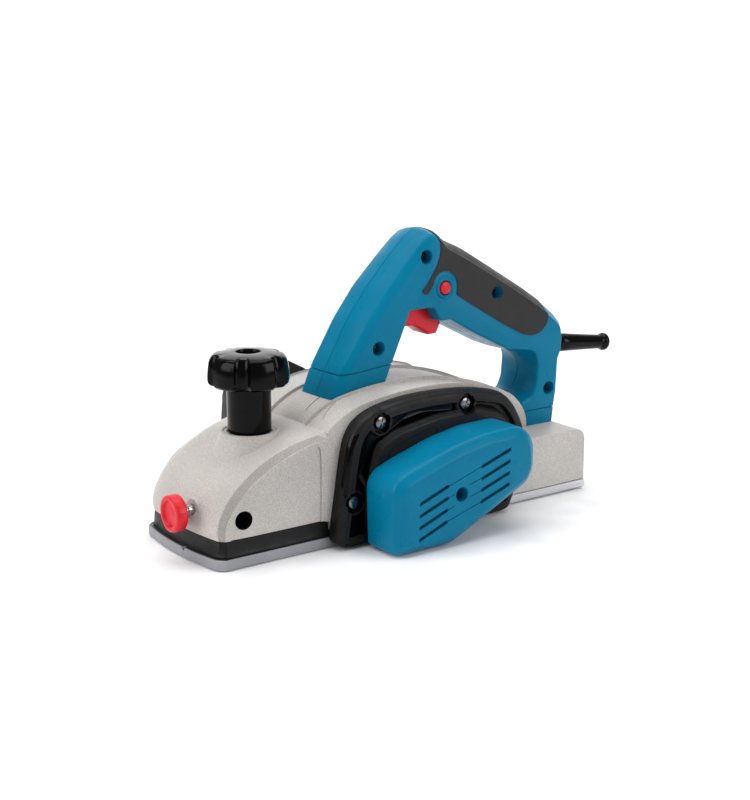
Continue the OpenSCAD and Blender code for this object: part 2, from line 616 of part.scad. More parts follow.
module armature_core() color("#7a5a3a") about_motor() difference() {
  rod_y([0, 0], 16.5, -20, 16);
  rod_y([0, 0], 4, -30, 30);
  for (i = [0:11]) rotate([0, i * 30, 0]) translate([14, -30, -0.9]) cube([4, 60, 1.8]);
}

module commutator() color("#b8733a") about_motor() difference() {
  rod_y([0, 0], 10.5, 19, 31);
  rod_y([0, 0], 4, 10, 40);
  for (i = [0:23]) rotate([0, i * 15, 0]) translate([9.9, 10, -0.25]) cube([2, 30, 0.5]);
}

module cooling_fan() color("#2e2e30") about_motor() difference() {
  union() {
    rod_y([0, 0], 26, -42, -40.4);
    rod_y([0, 0], 8, -41, -32);
    for (i = [0:14]) rotate([0, i * 24, 0]) translate([9, -41, -0.7]) cube([16.6, 8.4, 1.4]);
  }
  rod_y([0, 0], 4, -50, -20);
}

module armature_bearings() color("#b5b8bb") {
  bearing([motor_x, motor_z], 34.6, 41.6, 4 + run, 11);
  bearing([motor_x, motor_z], -54, -47, 4 + run, 11);
}

module stator_core() color("#55585c") about_motor() difference() {
  rod_y([0, 0], 29.9, -22, 14);
  rod_y([0, 0], 17.1, -23, 15);
  for (a = [0, 180]) for (s = [-1, 1])
    rotate([0, a + s * 50, 0]) translate([15, -23, -3]) cube([9, 38, 6]);
}

module field_coils() color("#a8552a") about_motor() for (a = [0, 180]) rotate([0, a,
  0]) for (y0 = [-27.5, 14.05])
  difference() {
    rod_y([0, 0], 27, y0, y0 + 5.4);
    rod_y([0, 0], 19, y0 - 1, y0 + 8);
    translate([-40, y0 - 1, -40]) cube([80, 9, 50]);
  }

module brush_holders() color("#c9a85a") about_motor() for (a = [0, 180]) rotate([0, a, 0]) difference() {
  translate([12, 20.6, -4.4]) cube([15, 9.4, 8.8]);
  translate([10, 22, -3]) cube([20, 6.6, 6]);
}

module carbon_brushes() color("#303030") about_motor() for (a = [0, 180]) rotate([0, a, 0])
  translate([10.8, 22.1, -2.9]) cube([14, 6.4, 5.8]);

body_casting();
rear_sole();
rear_sole_screws();
side_cover();
side_cover_screws();
belt_cover();
belt_cover_screw();
chip_chute();
chip_chute_screws();
front_shoe();
front_shoe_skirt();
depth_knob();
depth_spindle();
depth_spring();
depth_retaining_ring();
guide_thumb_knob();
guide_screw_stud();
guide_screw_spring();
guide_screw_washer();
handle_left();
handle_right();
grip_left();
grip_right();
handle_screws();
trigger();
trigger_pin();
lock_button();
switch_body();
capacitor();
cord_guard();
cord_clamp();
cord_clamp_screws();
cutter_drum();
blades();
blade_clamps();
blade_screws();
drum_bearings();
drum_pulley();
drum_pulley_nut();
motor_pulley();
drive_belt();
armature_shaft();
armature_core();
commutator();
cooling_fan();
armature_bearings();
stator_core();
field_coils();
brush_holders();
carbon_brushes();
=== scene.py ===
import math

import bmesh
import bpy
from mathutils import Matrix, Vector


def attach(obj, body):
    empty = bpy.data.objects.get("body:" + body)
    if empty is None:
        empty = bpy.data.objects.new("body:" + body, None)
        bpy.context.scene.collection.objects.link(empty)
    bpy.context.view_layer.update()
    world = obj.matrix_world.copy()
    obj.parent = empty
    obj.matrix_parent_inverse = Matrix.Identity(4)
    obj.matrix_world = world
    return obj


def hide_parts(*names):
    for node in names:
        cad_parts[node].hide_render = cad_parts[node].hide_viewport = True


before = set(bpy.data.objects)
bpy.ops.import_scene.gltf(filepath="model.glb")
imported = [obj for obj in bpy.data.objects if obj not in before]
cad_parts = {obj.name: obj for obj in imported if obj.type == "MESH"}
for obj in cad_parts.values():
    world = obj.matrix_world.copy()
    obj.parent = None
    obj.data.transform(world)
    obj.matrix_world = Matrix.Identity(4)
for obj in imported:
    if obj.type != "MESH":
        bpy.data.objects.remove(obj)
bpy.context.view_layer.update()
scene = bpy.context.scene

# Lengths are in millimetres in the CAD's frame (-X front, -Y belt side, +Z up), up to the stage.

HALF = 45.0                                    # half the casting's width
BOX_TOP = 42.3                                 # top of the rear box
SOLE_TOP = 6.2                                 # top of the sole plates
DRUM, MOTOR = (-88.0, 0, 23.5), (-27.6, 0, 46.0)   # axes along Y
KNOB = (-159.5, 0, 0)                          # depth knob's axis, along Z
GUIDE = (-191, 0, 28)                          # edge guide's hole, along Y
STUD = (0, -14.5, 30.5)                        # thumb screw's axis, along X
POST = (-138, 26)                              # (x, |y|) of the posts that guide the front shoe
LOCK = (-25.5, 0, 144)                         # lock button's axis, along Y
OUTLET = (-108, 0, 66)                         # chute's mouth, along Y
CHUTE_SCREWS = [(-128.5, 58), (-83, 66)]       # screws are (x, z)
COVER_SCREWS = [(-101, 74.5), (-35.7, 77), (-121, 28.5), (-0.5, 22)]
BELT_SCREW = (-65.2, 31.7)
HANDLE_SCREWS = [(-76.5, 110.6), (-39.4, 164.6), (18.6, 136.4), (66.6, 66.3)]


# ---- outlines ----------------------------------------------------------------------

def rounded(points, n=7):
    """Closed outline from (x, z) corners, each with an optional radius."""
    out = []
    count = len(points)
    for i, p in enumerate(points):
        r = p[2] if len(p) > 2 else 0
        b = Vector(p[:2])
        if r <= 0:
            out.append(tuple(b))
            continue
        a, c = Vector(points[i - 1][:2]), Vector(points[(i + 1) % count][:2])
        u, v = (a - b), (c - b)
        lu, lv = u.length, v.length
        u.normalize()
        v.normalize()
        half = math.acos(max(-1, min(1, u.dot(v)))) / 2
        if half > math.pi / 2 - 1e-4:
            out.extend([tuple(b)] * (n + 1))
            continue
        t = min(r / math.tan(half), 0.49 * lu, 0.49 * lv)
        r = t * math.tan(half)
        o = b + (u + v).normalized() * (r / math.sin(half))
        s, e = b + u * t, b + v * t
        a1 = math.atan2(s.y - o.y, s.x - o.x)
        a2 = math.atan2(e.y - o.y, e.x - o.x)
        sweep = (a2 - a1 + 3 * math.pi) % (2 * math.pi) - math.pi
        angles = [a1 + sweep * k / n for k in range(n + 1)]
        out.extend((o.x + r * math.cos(a), o.y + r * math.sin(a)) for a in angles)
    return out


def curve(points, per=6):
    """Open smooth curve through the points."""
    p = [Vector(q[:2]) for q in points]
    p = [2 * p[0] - p[1]] + p + [2 * p[-1] - p[-2]]
    out = []
    for i in range(1, len(p) - 2):
        for k in range(per):
            t = k / per
            out.append(tuple(0.5 * (2 * p[i] + (p[i + 1] - p[i - 1]) * t
                       + (2 * p[i - 1] - 5 * p[i] + 4 * p[i + 1] - p[i + 2]) * t * t
                       + (3 * p[i] - p[i - 1] - 3 * p[i + 1] + p[i + 2]) * t ** 3)))
    out.append(tuple(p[-2]))
    return out


def even(points, count):
    """The same closed outline with evenly spaced points."""
    p = [Vector(q) for q in points]
    run = [0.0]
    for i in range(len(p)):
        run.append(run[-1] + (p[(i + 1) % len(p)] - p[i]).length)
    out, j = [], 0
    for k in range(count):
        want = run[-1] * k / count
        while run[j + 1] < want:
            j += 1
        t = (want - run[j]) / max(1e-9, run[j + 1] - run[j])
        out.append(tuple(p[j].lerp(p[(j + 1) % len(p)], t)))
    return out


def area(loop):
    """Signed area of a closed outline."""
    return sum(a[0] * b[1] - b[0] * a[1] for a, b in zip(loop, loop[1:] + loop[:1])) / 2


def inset(loop, d, passes=60):
    """A closed outline of points moved inwards by d."""
    if d == 0:
        return list(loop)
    sign = 1 if area(loop) > 0 else -1
    out, n = [], len(loop)
    for i in range(n):
        b = Vector(loop[i])
        j = 1
        while (b - Vector(loop[(i - j) % n])).length < 1e-6:
            j += 1
        k = 1
        while (b - Vector(loop[(i + k) % n])).length < 1e-6:
            k += 1
        u = (b - Vector(loop[(i - j) % n])).normalized()
        v = (Vector(loop[(i + k) % n]) - b).normalized()
        nu, nv = Vector((-u.y, u.x)) * sign, Vector((-v.y, v.x)) * sign
        m = nu + nv
        if m.length < 1e-6:
            m = nu
        m.normalize()
        out.append(tuple(b + m * (d / max(0.5, m.dot(nu)))))
    # points that ran past each other at a tight corner are drawn together
    for _ in range(passes):
        turned = False
        for i in range(n):
            k = (i + 1) % n
            was, now = Vector(loop[k]) - Vector(loop[i]), Vector(out[k]) - Vector(out[i])
            if was.dot(now) < -1e-9:
                out[i] = out[k] = tuple((Vector(out[i]) + Vector(out[k])) / 2)
                turned = True
        if not turned:
            break
    return out


def shrink(corners, d):
    """An outline's control corners (x, z, radius) moved inwards by d."""
    sign = 1 if area([c[:2] for c in corners]) > 0 else -1
    out, n = [], len(corners)
    for i, c in enumerate(corners):
        b = Vector(c[:2])
        u = (b - Vector(corners[i - 1][:2])).normalized()
        v = (Vector(corners[(i + 1) % n][:2]) - b).normalized()
        nu, nv = Vector((-u.y, u.x)) * sign, Vector((-v.y, v.x)) * sign
        m = (nu + nv).normalized()
        q = b + m * (d / max(0.45, m.dot(nu)))
        outer = (u.x * v.y - u.y * v.x) * sign > 0
        out.append((q.x, q.y, max(0.12, c[2] - d if outer else c[2] + d) if c[2] > 0 else 0))
    return out


def offset_curve(points, d):
    """An open curve moved by d to its right, which is down for one that runs from front to rear."""
    out = []
    for i, (x, z) in enumerate(points):
        a, b = Vector(points[max(0, i - 1)]), Vector(points[min(len(points) - 1, i + 1)])
        t = (b - a).normalized()
        out.append((x + t.y * d, z - t.x * d))
    return out


def line(shape, d, n=7):
    """Outline at an inset, from control corners (three numbers each) or plain points."""
    return rounded(shrink(shape, d), n) if len(shape[0]) == 3 else inset(shape, d)


# ---- meshes ------------------------------------------------------------------------

def finish_mesh(name, bm, smooth):
    """Cleans a mesh in millimetres and puts it in the scene in metres."""
    bmesh.ops.remove_doubles(bm, verts=bm.verts, dist=0.004)
    bmesh.ops.dissolve_degenerate(bm, edges=bm.edges, dist=0.002)
    bmesh.ops.recalc_face_normals(bm, faces=bm.faces)
    bmesh.ops.scale(bm, vec=(0.001,) * 3, verts=bm.verts)
    me = bpy.data.meshes.new(name)
    bm.to_mesh(me)
    bm.free()
    ob = bpy.data.objects.new(name, me)
    scene.collection.objects.link(ob)
    shade(ob, smooth)
    return ob


def shade(ob, smooth=32):
    """Smooth faces, with sharp edges above an angle in degrees."""
    me = ob.data
    me.polygons.foreach_set("use_smooth", [True] * len(me.polygons))
    me.set_sharp_from_angle(angle=math.radians(smooth))
    me.update()


def skin(name, rings, smooth=32, close=False):
    """Closed mesh through rings of points, all of one count; close joins the last to the first."""
    bm = bmesh.new()
    rows = [[bm.verts.new(p) for p in ring] for ring in rings]
    n = len(rows[0])
    pairs = list(zip(rows, rows[1:])) + ([(rows[-1], rows[0])] if close else [])
    for a, b in pairs:
        for i in range(n):
            bm.faces.new((a[i], a[(i + 1) % n], b[(i + 1) % n], b[i]))
    if not close:
        bm.faces.new(rows[0][::-1])
        bm.faces.new(rows[-1])
    return finish_mesh(name, bm, smooth)


def slab(name, outline, steps, smooth=32):
    """Outline in XZ stacked along Y; steps are (y, inset)."""
    return skin(name, [[(x, y, z) for x, z in line(outline, d)] for y, d in steps], smooth)


def lathe(name, profile, at=(0, 0, 0), axis="z", n=72, shape=None, smooth=32):
    """Turned piece from (radius, height) points; shape(angle, r, h) may change the radius."""
    rings = []
    for r, h in profile:
        ring = []
        for i in range(n):
            a = 2 * math.pi * i / n
            q = max(0.02, shape(a, r, h) if shape else r)
            u, v = q * math.cos(a), q * math.sin(a)
            p = {"z": (u, v, h), "y": (u, h, v), "x": (h, u, v)}[axis]
            ring.append((at[0] + p[0], at[1] + p[1], at[2] + p[2]))
        rings.append(ring)
    return skin(name, rings, smooth)


def turn(ob, matrix):
    """Applies a matrix in millimetres to a mesh."""
    m = matrix.copy()
    m.translation = m.translation * 0.001
    ob.data.transform(m)
    ob.data.update()
    return ob


def block(name, lo, hi, bevel=0.0, segments=3):
    """Box between two corners."""
    bm = bmesh.new()
    bmesh.ops.create_cube(bm, size=1)
    size = [b - a for a, b in zip(lo, hi)]
    mid = [(a + b) / 2 for a, b in zip(lo, hi)]
    bmesh.ops.scale(bm, vec=size, verts=bm.verts)
    bmesh.ops.translate(bm, vec=mid, verts=bm.verts)
    if bevel:
        bmesh.ops.bevel(bm, geom=bm.edges[:], offset=bevel, segments=segments, profile=0.5, affect="EDGES")
    return finish_mesh(name, bm, 40)


def volume(me):
    """A mesh's volume in cubic metres."""
    bm = bmesh.new()
    bm.from_mesh(me)
    v = abs(bm.calc_volume())
    bm.free()
    return v


def combine(ob, other, how, smooth=32):
    """Applied boolean, tried again with use_self where the first result has an impossible volume."""
    before, other_volume = volume(ob.data), volume(other.data)
    for own in (False, True):
        mod = ob.modifiers.new("cut", "BOOLEAN")
        mod.operation = how
        mod.solver = "EXACT"
        mod.use_self = own
        mod.object = other
        dg = bpy.context.evaluated_depsgraph_get()
        me = bpy.data.meshes.new_from_object(ob.evaluated_get(dg))
        ob.modifiers.clear()
        after = volume(me)
        if how == "UNION":
            good = before * 0.999 < after < before + other_volume * 1.01
        elif how == "DIFFERENCE":
            good = -1e-11 <= before - after <= other_volume * 1.01 and after > before * 0.2
        else:
            good = after > 0
        if good:
            break
        print("boolean in doubt:", ob.name, other.name, how)
    old = ob.data
    ob.data = me
    bpy.data.meshes.remove(old)
    bpy.data.objects.remove(other)
    bm = bmesh.new()
    bm.from_mesh(me)
    bmesh.ops.remove_doubles(bm, verts=bm.verts, dist=2e-6)
    bmesh.ops.dissolve_degenerate(bm, edges=bm.edges, dist=1e-6)
    bm.to_mesh(me)
    bm.free()
    shade(ob, smooth)
    return ob


def cut(ob, *others, **kw):
    for o in others:
        combine(ob, o, "DIFFERENCE", **kw)
    return ob


def add(ob, *others, **kw):
    for o in others:
        combine(ob, o, "UNION", **kw)
    return ob


def rod(name, axis, at, r, lo, hi, n=48):
    """Plain cylinder between two heights along an axis."""
    return lathe(name, [(0.02, lo), (r, lo), (r, hi), (0.02, hi)], at, axis, n)


def on_side(p):
    """Point on the middle plane from (x, z), for what is turned about Y."""
    return (p[0], 0, p[1])


# ---- materials ---------------------------------------------------------------------

def linear(c):
    """Linear colour from sRGB of 0 to 255."""
    return tuple((v / 12.92 if v <= 0.04045 else ((v + 0.055) / 1.055) ** 2.4) for v in (x / 255 for x in c))


def material(name, rgb, rough=0.4, metal=0.0, spread=0.0, grain=1500.0, bump=0.0, bump_scale=None,
             spec=0.5, rough_spread=0.0, stretch=None):
    """Principled material: colour grain, fine bump (mm) and uneven gloss, from noise in object space."""
    mat = bpy.data.materials.new(name)
    mat.use_nodes = True
    nt = mat.node_tree
    nodes, links = nt.nodes, nt.links
    nodes.clear()
    out = nodes.new("ShaderNodeOutputMaterial")
    bsdf = nodes.new("ShaderNodeBsdfPrincipled")
    links.new(bsdf.outputs[0], out.inputs[0])
    base = linear(rgb)
    bsdf.inputs["Base Color"].default_value = (*base, 1)
    bsdf.inputs["Roughness"].default_value = rough
    bsdf.inputs["Metallic"].default_value = metal
    bsdf.inputs["Specular IOR Level"].default_value = spec
    coord = nodes.new("ShaderNodeTexCoord")
    mapping = nodes.new("ShaderNodeMapping")
    links.new(coord.outputs["Object"], mapping.inputs["Vector"])
    if stretch:
        mapping.inputs["Scale"].default_value = stretch

    def noise(scale, detail=2.0, roughness=0.6):
        t = nodes.new("ShaderNodeTexNoise")
        t.inputs["Scale"].default_value = scale
        t.inputs["Detail"].default_value = detail
        t.inputs["Roughness"].default_value = roughness
        links.new(mapping.outputs[0], t.inputs["Vector"])
        return t

    def ramp(source, lo, hi, a=0.35, b=0.65):
        m = nodes.new("ShaderNodeMapRange")
        m.inputs["From Min"].default_value = a
        m.inputs["From Max"].default_value = b
        m.inputs["To Min"].default_value = lo
        m.inputs["To Max"].default_value = hi
        links.new(source.outputs[0], m.inputs["Value"])
        return m

    if spread:
        mix = nodes.new("ShaderNodeMix")
        mix.data_type = "RGBA"
        dark = tuple(v * (1 - spread) for v in base)
        light = tuple(min(1, v * (1 + spread * 0.8)) for v in base)
        mix.inputs["A"].default_value = (*dark, 1)
        mix.inputs["B"].default_value = (*light, 1)
        links.new(ramp(noise(grain, 2.5), 0, 1).outputs[0], mix.inputs["Factor"])
        # slow, faint change over the whole surface
        tint = nodes.new("ShaderNodeMix")
        tint.data_type = "RGBA"
        tint.blend_type = "MULTIPLY"
        tint.inputs["Factor"].default_value = 1.0
        grey = nodes.new("ShaderNodeCombineColor")
        shades = ramp(noise(28.0, 1.0), 0.94, 1.03)
        for i in range(3):
            links.new(shades.outputs[0], grey.inputs[i])
        links.new(mix.outputs["Result"], tint.inputs["A"])
        links.new(grey.outputs[0], tint.inputs["B"])
        links.new(tint.outputs["Result"], bsdf.inputs["Base Color"])
    if rough_spread:
        gloss = ramp(noise(120.0, 3.0), max(0.02, rough - rough_spread), rough + rough_spread)
        links.new(gloss.outputs[0], bsdf.inputs["Roughness"])
    if bump:
        b = nodes.new("ShaderNodeBump")
        b.inputs["Strength"].default_value = 1.0
        b.inputs["Distance"].default_value = bump * 0.001
        links.new(noise(bump_scale or grain, 3.0).outputs[0], b.inputs["Height"])
        links.new(b.outputs[0], bsdf.inputs["Normal"])
    return mat


M = {
    "cast": material("cast_grey", (189, 184, 179), 0.46, spread=0.20, grain=1350, bump=0.10, bump_scale=1500,
                     rough_spread=0.07, spec=0.4),
    # painted shade: a darker copy of the cast grey for the nose's chamfer band, which falls in shade
    "cast_band_painted_shade": material("cast_band_painted_shade", (160, 155, 151), 0.5, spread=0.18, grain=1350, bump=0.08,
                          bump_scale=1500, rough_spread=0.07, spec=0.25),
    # painted shade: near-black for the inside of the guide hole, where shade falls
    "hole": material("cast_shade", (22, 21, 21), 0.6, spread=0.1, grain=900, bump=0.03, rough_spread=0.06,
                     spec=0.1),
    "sole": material("machined", (205, 206, 210), 0.30, 1.0, spread=0.06, grain=900, bump=0.012,
                     bump_scale=1500, rough_spread=0.06, stretch=(0.06, 1.0, 1.0)),
    "lip": material("shoe_edge", (150, 151, 156), 0.42, 0.35, spread=0.10, grain=1500, bump=0.03,
                    rough_spread=0.06),
    "lip_top": material("shoe_top", (62, 63, 66), 0.40, 0.3, spread=0.15, grain=900, bump=0.03,
                        rough_spread=0.08, spec=0.3),
    "blue": material("blue_plastic", (0, 116, 151), 0.32, spread=0.03, grain=2600, bump=0.012,
                     bump_scale=2600, rough_spread=0.05, spec=0.10),
    # painted shade: darker blue for the bottoms of recesses
    "recess_shade_blue": material("blue_painted_shade", (0, 44, 62), 0.6, spread=0.05, bump=0.01, bump_scale=2000, spec=0.1),
    "black_grain": material("black_grain", (19, 19, 20), 0.40, spread=0.35, grain=1500, bump=0.2,
                            bump_scale=1150, rough_spread=0.1, spec=0.2),
    "black_gloss": material("black_gloss", (4, 4, 5), 0.13, spread=0.1, grain=300, bump=0.004, bump_scale=500,
                            rough_spread=0.04, spec=0.12),
    "grip": material("grip_rubber", (42, 42, 43), 0.5, spread=0.10, grain=2600, bump=0.03, bump_scale=2800,
                     rough_spread=0.06, spec=0.22),
    "red": material("red_plastic", (214, 22, 40), 0.33, spread=0.05, grain=900, bump=0.008, bump_scale=1600,
                    rough_spread=0.05, spec=0.3),
    "chute": material("chute_grey", (38, 38, 40), 0.48, spread=0.12, grain=1500, bump=0.05, bump_scale=1500,
                      rough_spread=0.06, spec=0.3),
    "steel": material("bright_steel", (190, 190, 194), 0.24, 1.0, spread=0.08, grain=700, bump=0.006,
                      bump_scale=900, rough_spread=0.08),
    "screw": material("dark_screw", (120, 120, 124), 0.22, 1.0, spread=0.2, grain=900, bump=0.01,
                      bump_scale=1500, rough_spread=0.08),
    "rubber": material("belt_rubber", (26, 26, 27), 0.6, spread=0.2, grain=1200, bump=0.03,
                       rough_spread=0.08),
    "copper": material("copper", (184, 104, 66), 0.34, 0.9, spread=0.15, grain=900, bump=0.01,
                       rough_spread=0.08),
    "brass": material("brass", (190, 150, 84), 0.3, 1.0, spread=0.1, grain=700, bump=0.01, rough_spread=0.08),
    "nylon": material("black_nylon", (30, 30, 32), 0.5, spread=0.15, grain=1500, bump=0.04, rough_spread=0.06,
                      spec=0.3),
    "iron": material("laminations", (96, 98, 102), 0.5, 0.6, spread=0.25, grain=900, bump=0.03,
                     rough_spread=0.1, stretch=(1, 6, 1)),
    "film": material("capacitor_film", (196, 150, 60), 0.35, spread=0.1, grain=600, bump=0.01,
                     rough_spread=0.05),
}


def place(ob, body, mat, nodes=(), extra=()):
    """Gives a piece its materials, its body and the CAD nodes that it replaces."""
    ob.data.materials.clear()
    for m in (mat, *extra):
        ob.data.materials.append(M[m])
    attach(ob, body)
    if nodes:
        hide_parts(*nodes)
    return ob


# ---- casting -----------------------------------------------------------------------

nose_top = curve([(-206.4, 17.5), (-207.1, 22), (-206.2, 28), (-203.2, 34.6), (-197.6, 42.6), (-189.0, 50.4),
                  (-178.6, 57.6), (-167.7, 62.8), (-156.6, 66.4), (-145.5, 68.7), (-128.0, 71.2)], 6)
nose_edge = curve([(-202.6, 17.5), (-202.3, 22), (-200.8, 28.5), (-196.2, 36.5), (-188.2, 46.2),
                   (-176.9, 53.6), (-165.7, 59.2), (-154.7, 63.2), (-143.4, 66.0), (-136, 66.8),
                   (-128.0, 67.2)], 6)


def plan(front, hw, rear, bow_by=3.8, c=4.0, n=10):
    """Outline from above with half width hw: square at the rear, bowed and chamfered by c at the front."""
    pts = [(rear, -hw), (rear, hw), (front + bow_by + c, hw)]
    pts += [(front + bow_by * (i / n) ** 2, (hw - c) * i / n) for i in range(n, -n - 1, -1)]
    return pts + [(front + bow_by + c, -hw)]


def plates(name, outline, steps, smooth=30):
    """Outline in XY stacked along Z; steps are (z, inset)."""
    return skin(name, [[(x, y, z) for x, y in inset(outline, d)] for z, d in steps], smooth)


def bow(x, y):
    """The nose's front bows forward towards the middle of its width."""
    share = max(0.0, min(1.0, (-160 - x) / 46))
    return x - 3.6 * share * (1 - (min(abs(y), 41) / 41) ** 2)


def nose():
    """Nose from sections across it: (y, t), where t runs from the top line, 0, to the side's edge, 1."""
    sink, sink_half = 3.2, 39
    edge = [(-44.98, 1.0), (-44.7, 0.93), (-40.5, 0.09), (-40.0, 0.0), (-39.2, -0.03)]
    middle = [(y, -0.05) for y in (-32, -24, -16, -8, 0, 8, 16, 24, 30)]
    across = edge + middle + [(34, 0.04), (37.5, 0.2), (40.5, 0.42), (43, 0.7), (44.7, 0.94), (44.98, 1.0)]
    out = []
    for y, t in across:
        ring = []
        for a, b in zip(nose_top, nose_edge):
            if t < 0:
                dip = math.sin(math.pi * max(0.0, min(1.0, (a[0] + 203) / 66)))
                x, z = a[0], a[1] - sink * dip * (1 - (y / sink_half) ** 2)
            else:
                x, z = a[0] + (b[0] - a[0]) * t, a[1] + (b[1] - a[1]) * t
            ring.append((bow(x, y), y, z))
        ring.append((-128.0, y, 17.5))
        out.append(ring)
    return skin("nose", out, 24)


def taper(x):
    """How far the nose's sides draw in ahead of x = -186."""
    return max(0.0, (-186 - x) * 0.07)


dome_top = curve([(-131.5, 70.5), (-127, 74.0), (-120, 78.2), (-111, 82.0), (-104, 83.6), (-95, 85.2),
                  (-80, 86.9), (-60, 87.7), (-44, 87.3), (-30, 85.6), (-15, 82.5), (0, 78.2), (15, 72.5),
                  (28, 66.7), (34, 62.6), (39.5, 56.5), (43, 49.5), (44, 40)], 5)


def dome_height(x):
    """Height of the dome's top line."""
    for a, b in zip(dome_top, dome_top[1:]):
        if a[0] <= x <= b[0]:
            return a[1] + (b[1] - a[1]) * (x - a[0]) / (b[0] - a[0])
    return dome_top[0][1]


dome_side = [p for p in dome_top if p[0] < -16] + curve([(-14.2, 82.3), (-4.2, 79.0), (3.9, 71.7),
                                                         (9.8, 62.5), (13.1, 54.6), (14.2, 46.5),
                                                         (14.3, 38.0)], 4)


def dome(name, top, steps, end):
    """Block under a top line, from steps across it of (y, inset)."""
    foot = [(end, SOLE_TOP), (-68, SOLE_TOP), (-68, 11), (-131.5, 11)]
    return skin(name, [[(x, y, z) for x, z in offset_curve(top, d) + foot] for y, d in steps], 24)


def arch(half, edge):
    """Steps across the dome: rounded edges and a faint crown."""
    rim = [(-half, edge), (-half + 0.3, edge * 0.45), (-half + 1.1, edge * 0.1), (-half + 2.4, 0.0)]
    return rim + [(0, -0.2)] + [(-y, d) for y, d in rim[::-1]]


body = nose()
dome_part = dome("dome", dome_side, arch(HALF, -2.0), 14.3)
platform = dome("platform", dome_top, [(-20.2, -2.2), (-19.9, -0.3), (-19.3, 0.25), (-18, 0.3), (18, 0.3),
                                       (19.3, 0.25), (19.9, -0.3), (20.2, -2.2)], 44)
rear = slab("rear_box", [(9, SOLE_TOP, 0), (9, BOX_TOP, 0), (77.4, BOX_TOP, 8), (77.4, SOLE_TOP, 0)],
            [(-45, 1.3), (-44.7, 0.5), (-44.1, 0.05), (-43.4, 0), (43.4, 0), (44.1, 0.05), (44.7, 0.5),
             (45, 1.3)], 24)
cut(rear, block("trim", (0, -50, 0), (90, 50, SOLE_TOP)), smooth=24)
flange = slab("flange", [(-135.4, 17.0, 0.3), (-134.0, 45.7, 40), (-132.5, 62.6, 12), (-129.8, 71.4, 3),
                         (-118, 78.6, 3), (-118, 12, 1)],
              [(-45, 0.5), (-44.8, 0.15), (-44.4, 0), (44.4, 0), (44.8, 0.15), (45, 0.5)], 24)
bulge_outline = [(-134, 34, 6), (-134, 70, 8), (-112, 80.5, 10), (-82, 84, 10), (-76, 34, 6)]
bulge = slab("bulge", bulge_outline, [(40, 0), (54.8, 0), (56.2, 0.6), (57, 2.0)], 24)
drum_hub = lathe("hub", [(0.02, 40), (17, 40), (17, 53.4), (15.6, 55), (0.02, 55)], DRUM, "y", 56)
motor_hub = lathe("hub2", [(0.02, 40), (15, 40), (15, 47), (14, 48), (0.02, 48)], MOTOR, "y", 56)
boss = lathe("boss", [(0.02, 40), (27.6, 40), (25.0, 48.7), (18.3, 66.6), (17.9, 67.9), (17.4, 68.25),
                      (16.4, 68.25), (15.6, 67.6), (0.02, 67.6)],
             KNOB, "z", 96)
for s in (-1, 1):
    # the side draws in towards the front, and carries a shallow sunk panel
    wedge = [(-186, s * 45.001), (-214, s * (45 - taper(-214))), (-214, s * 52), (-186, s * 52)]
    cut(body, plates("taper", wedge, [(10, 0), (80, 0)]), smooth=24)
    low = offset_curve(nose_edge, 2.6)
    front = [p for p in low if p[0] < -186]
    rest = [p for p in low if -186 <= p[0] < -141]
    last, first = front[-1], rest[0]
    mid = last[1] + (first[1] - last[1]) * (-186 - last[0]) / (first[0] - last[0])
    deep, out = 43.9, 46.5
    rear_part = [(-186, 16), (-186, mid)] + rest + [(-139.6, 64.0), (-138.3, 61.8), (-137.8, 58.5),
                                                    (-137.5, 45), (-138.2, 16)]
    cut(body, skin("panel", [[(x, s * y, z) for x, z in rear_part] for y in (out, deep)], 24), smooth=24)
    front_part = [(front[0][0], 16)] + front + [(-186, mid), (-186, 16)]
    rings = [[(x, s * out, z) for x, z in front_part], [(x, s * (deep - taper(x)), z) for x, z in front_part]]
    cut(body, skin("panel", rings, 24), smooth=24)
add(body, flange, dome_part, platform, rear, bulge, drum_hub, motor_hub, boss, smooth=26)
# two casting seams ahead of the handle's foot: depth, then (x, y, half width) along it
seams = ((1.4, [(-110, -4.4, 0.5), (-114, -4.9, 0.55), (-118, -5.7, 0.5), (-122, -7.0, 0.35),
                (-125.2, -8.4, 0.12)]),
         (0.7, [(-110, -20.6, 0.3), (-114, -21.9, 0.3), (-118, -23.8, 0.26), (-122, -26.2, 0.2),
                (-126, -29.0, 0.1)]))
for depth, path in seams:
    rings = []
    for x, y, w in path:
        lo, hi = dome_height(x) - depth, dome_height(x) + 3
        rings.append([(x, y - w, lo), (x, y + w, lo), (x, y + w, hi), (x, y - w, hi)])
    cut(body, skin("slit", rings, 24), smooth=26)
# hollow inside: pocket of the front shoe, nose, duct, motor, drum and rear box
cut(body,
    slab("nose_in", [(-204, 0, 0), (-204, 27, 4), (-196, 40, 20), (-177, 54, 20), (-155, 61, 20),
                     (-132, 65.5, 3), (-132, 0, 0)], [(-40, 0), (40, 0)]),
    plates("shoe_pocket", plan(-208.9, 42.6, -131), [(0, 0), (21.1, 0)]),
    slab("duct", [(-124, 0, 0), (-124, 69, 3), (-114, 76, 4), (-98, 78, 4), (-92, 74, 2), (-92, 40, 4),
                  (-100, 0, 0)], [(-41, 0), (41, 0)]),
    rod("motor_room", "y", MOTOR, 30, -46, 34.5, 72),
    slab("box_in", [(8, 0, 0), (8, 38, 2), (68, 38, 3), (73, 33, 2), (73, 0, 0)], [(-41, 0), (41, 0)]),
    slab("platform_in", [(8, 30, 0), (8, 60, 2), (19, 58, 4), (31, 50, 3), (39, 38, 3), (39, 30, 0)],
         [(-16, 0), (16, 0)]),
    block("mouth", (-116, -42, 0), (-64, 42.4, 20)),
    rod("under_drum", "y", DRUM, 25.2, -46, 42, 72),
    rod("drum_seat", "y", DRUM, 13.2, 40, 51.2, 48),
    rod("motor_seat", "y", MOTOR, 11.2, 30, 42, 48), smooth=26)
posts = rod("posts", "z", KNOB, 17.2, 52, 64, 48)
for s in (-1, 1):
    add(posts, rod("post_hole", "z", (POST[0], s * POST[1], 0), 8.5, 30, 66, 32))
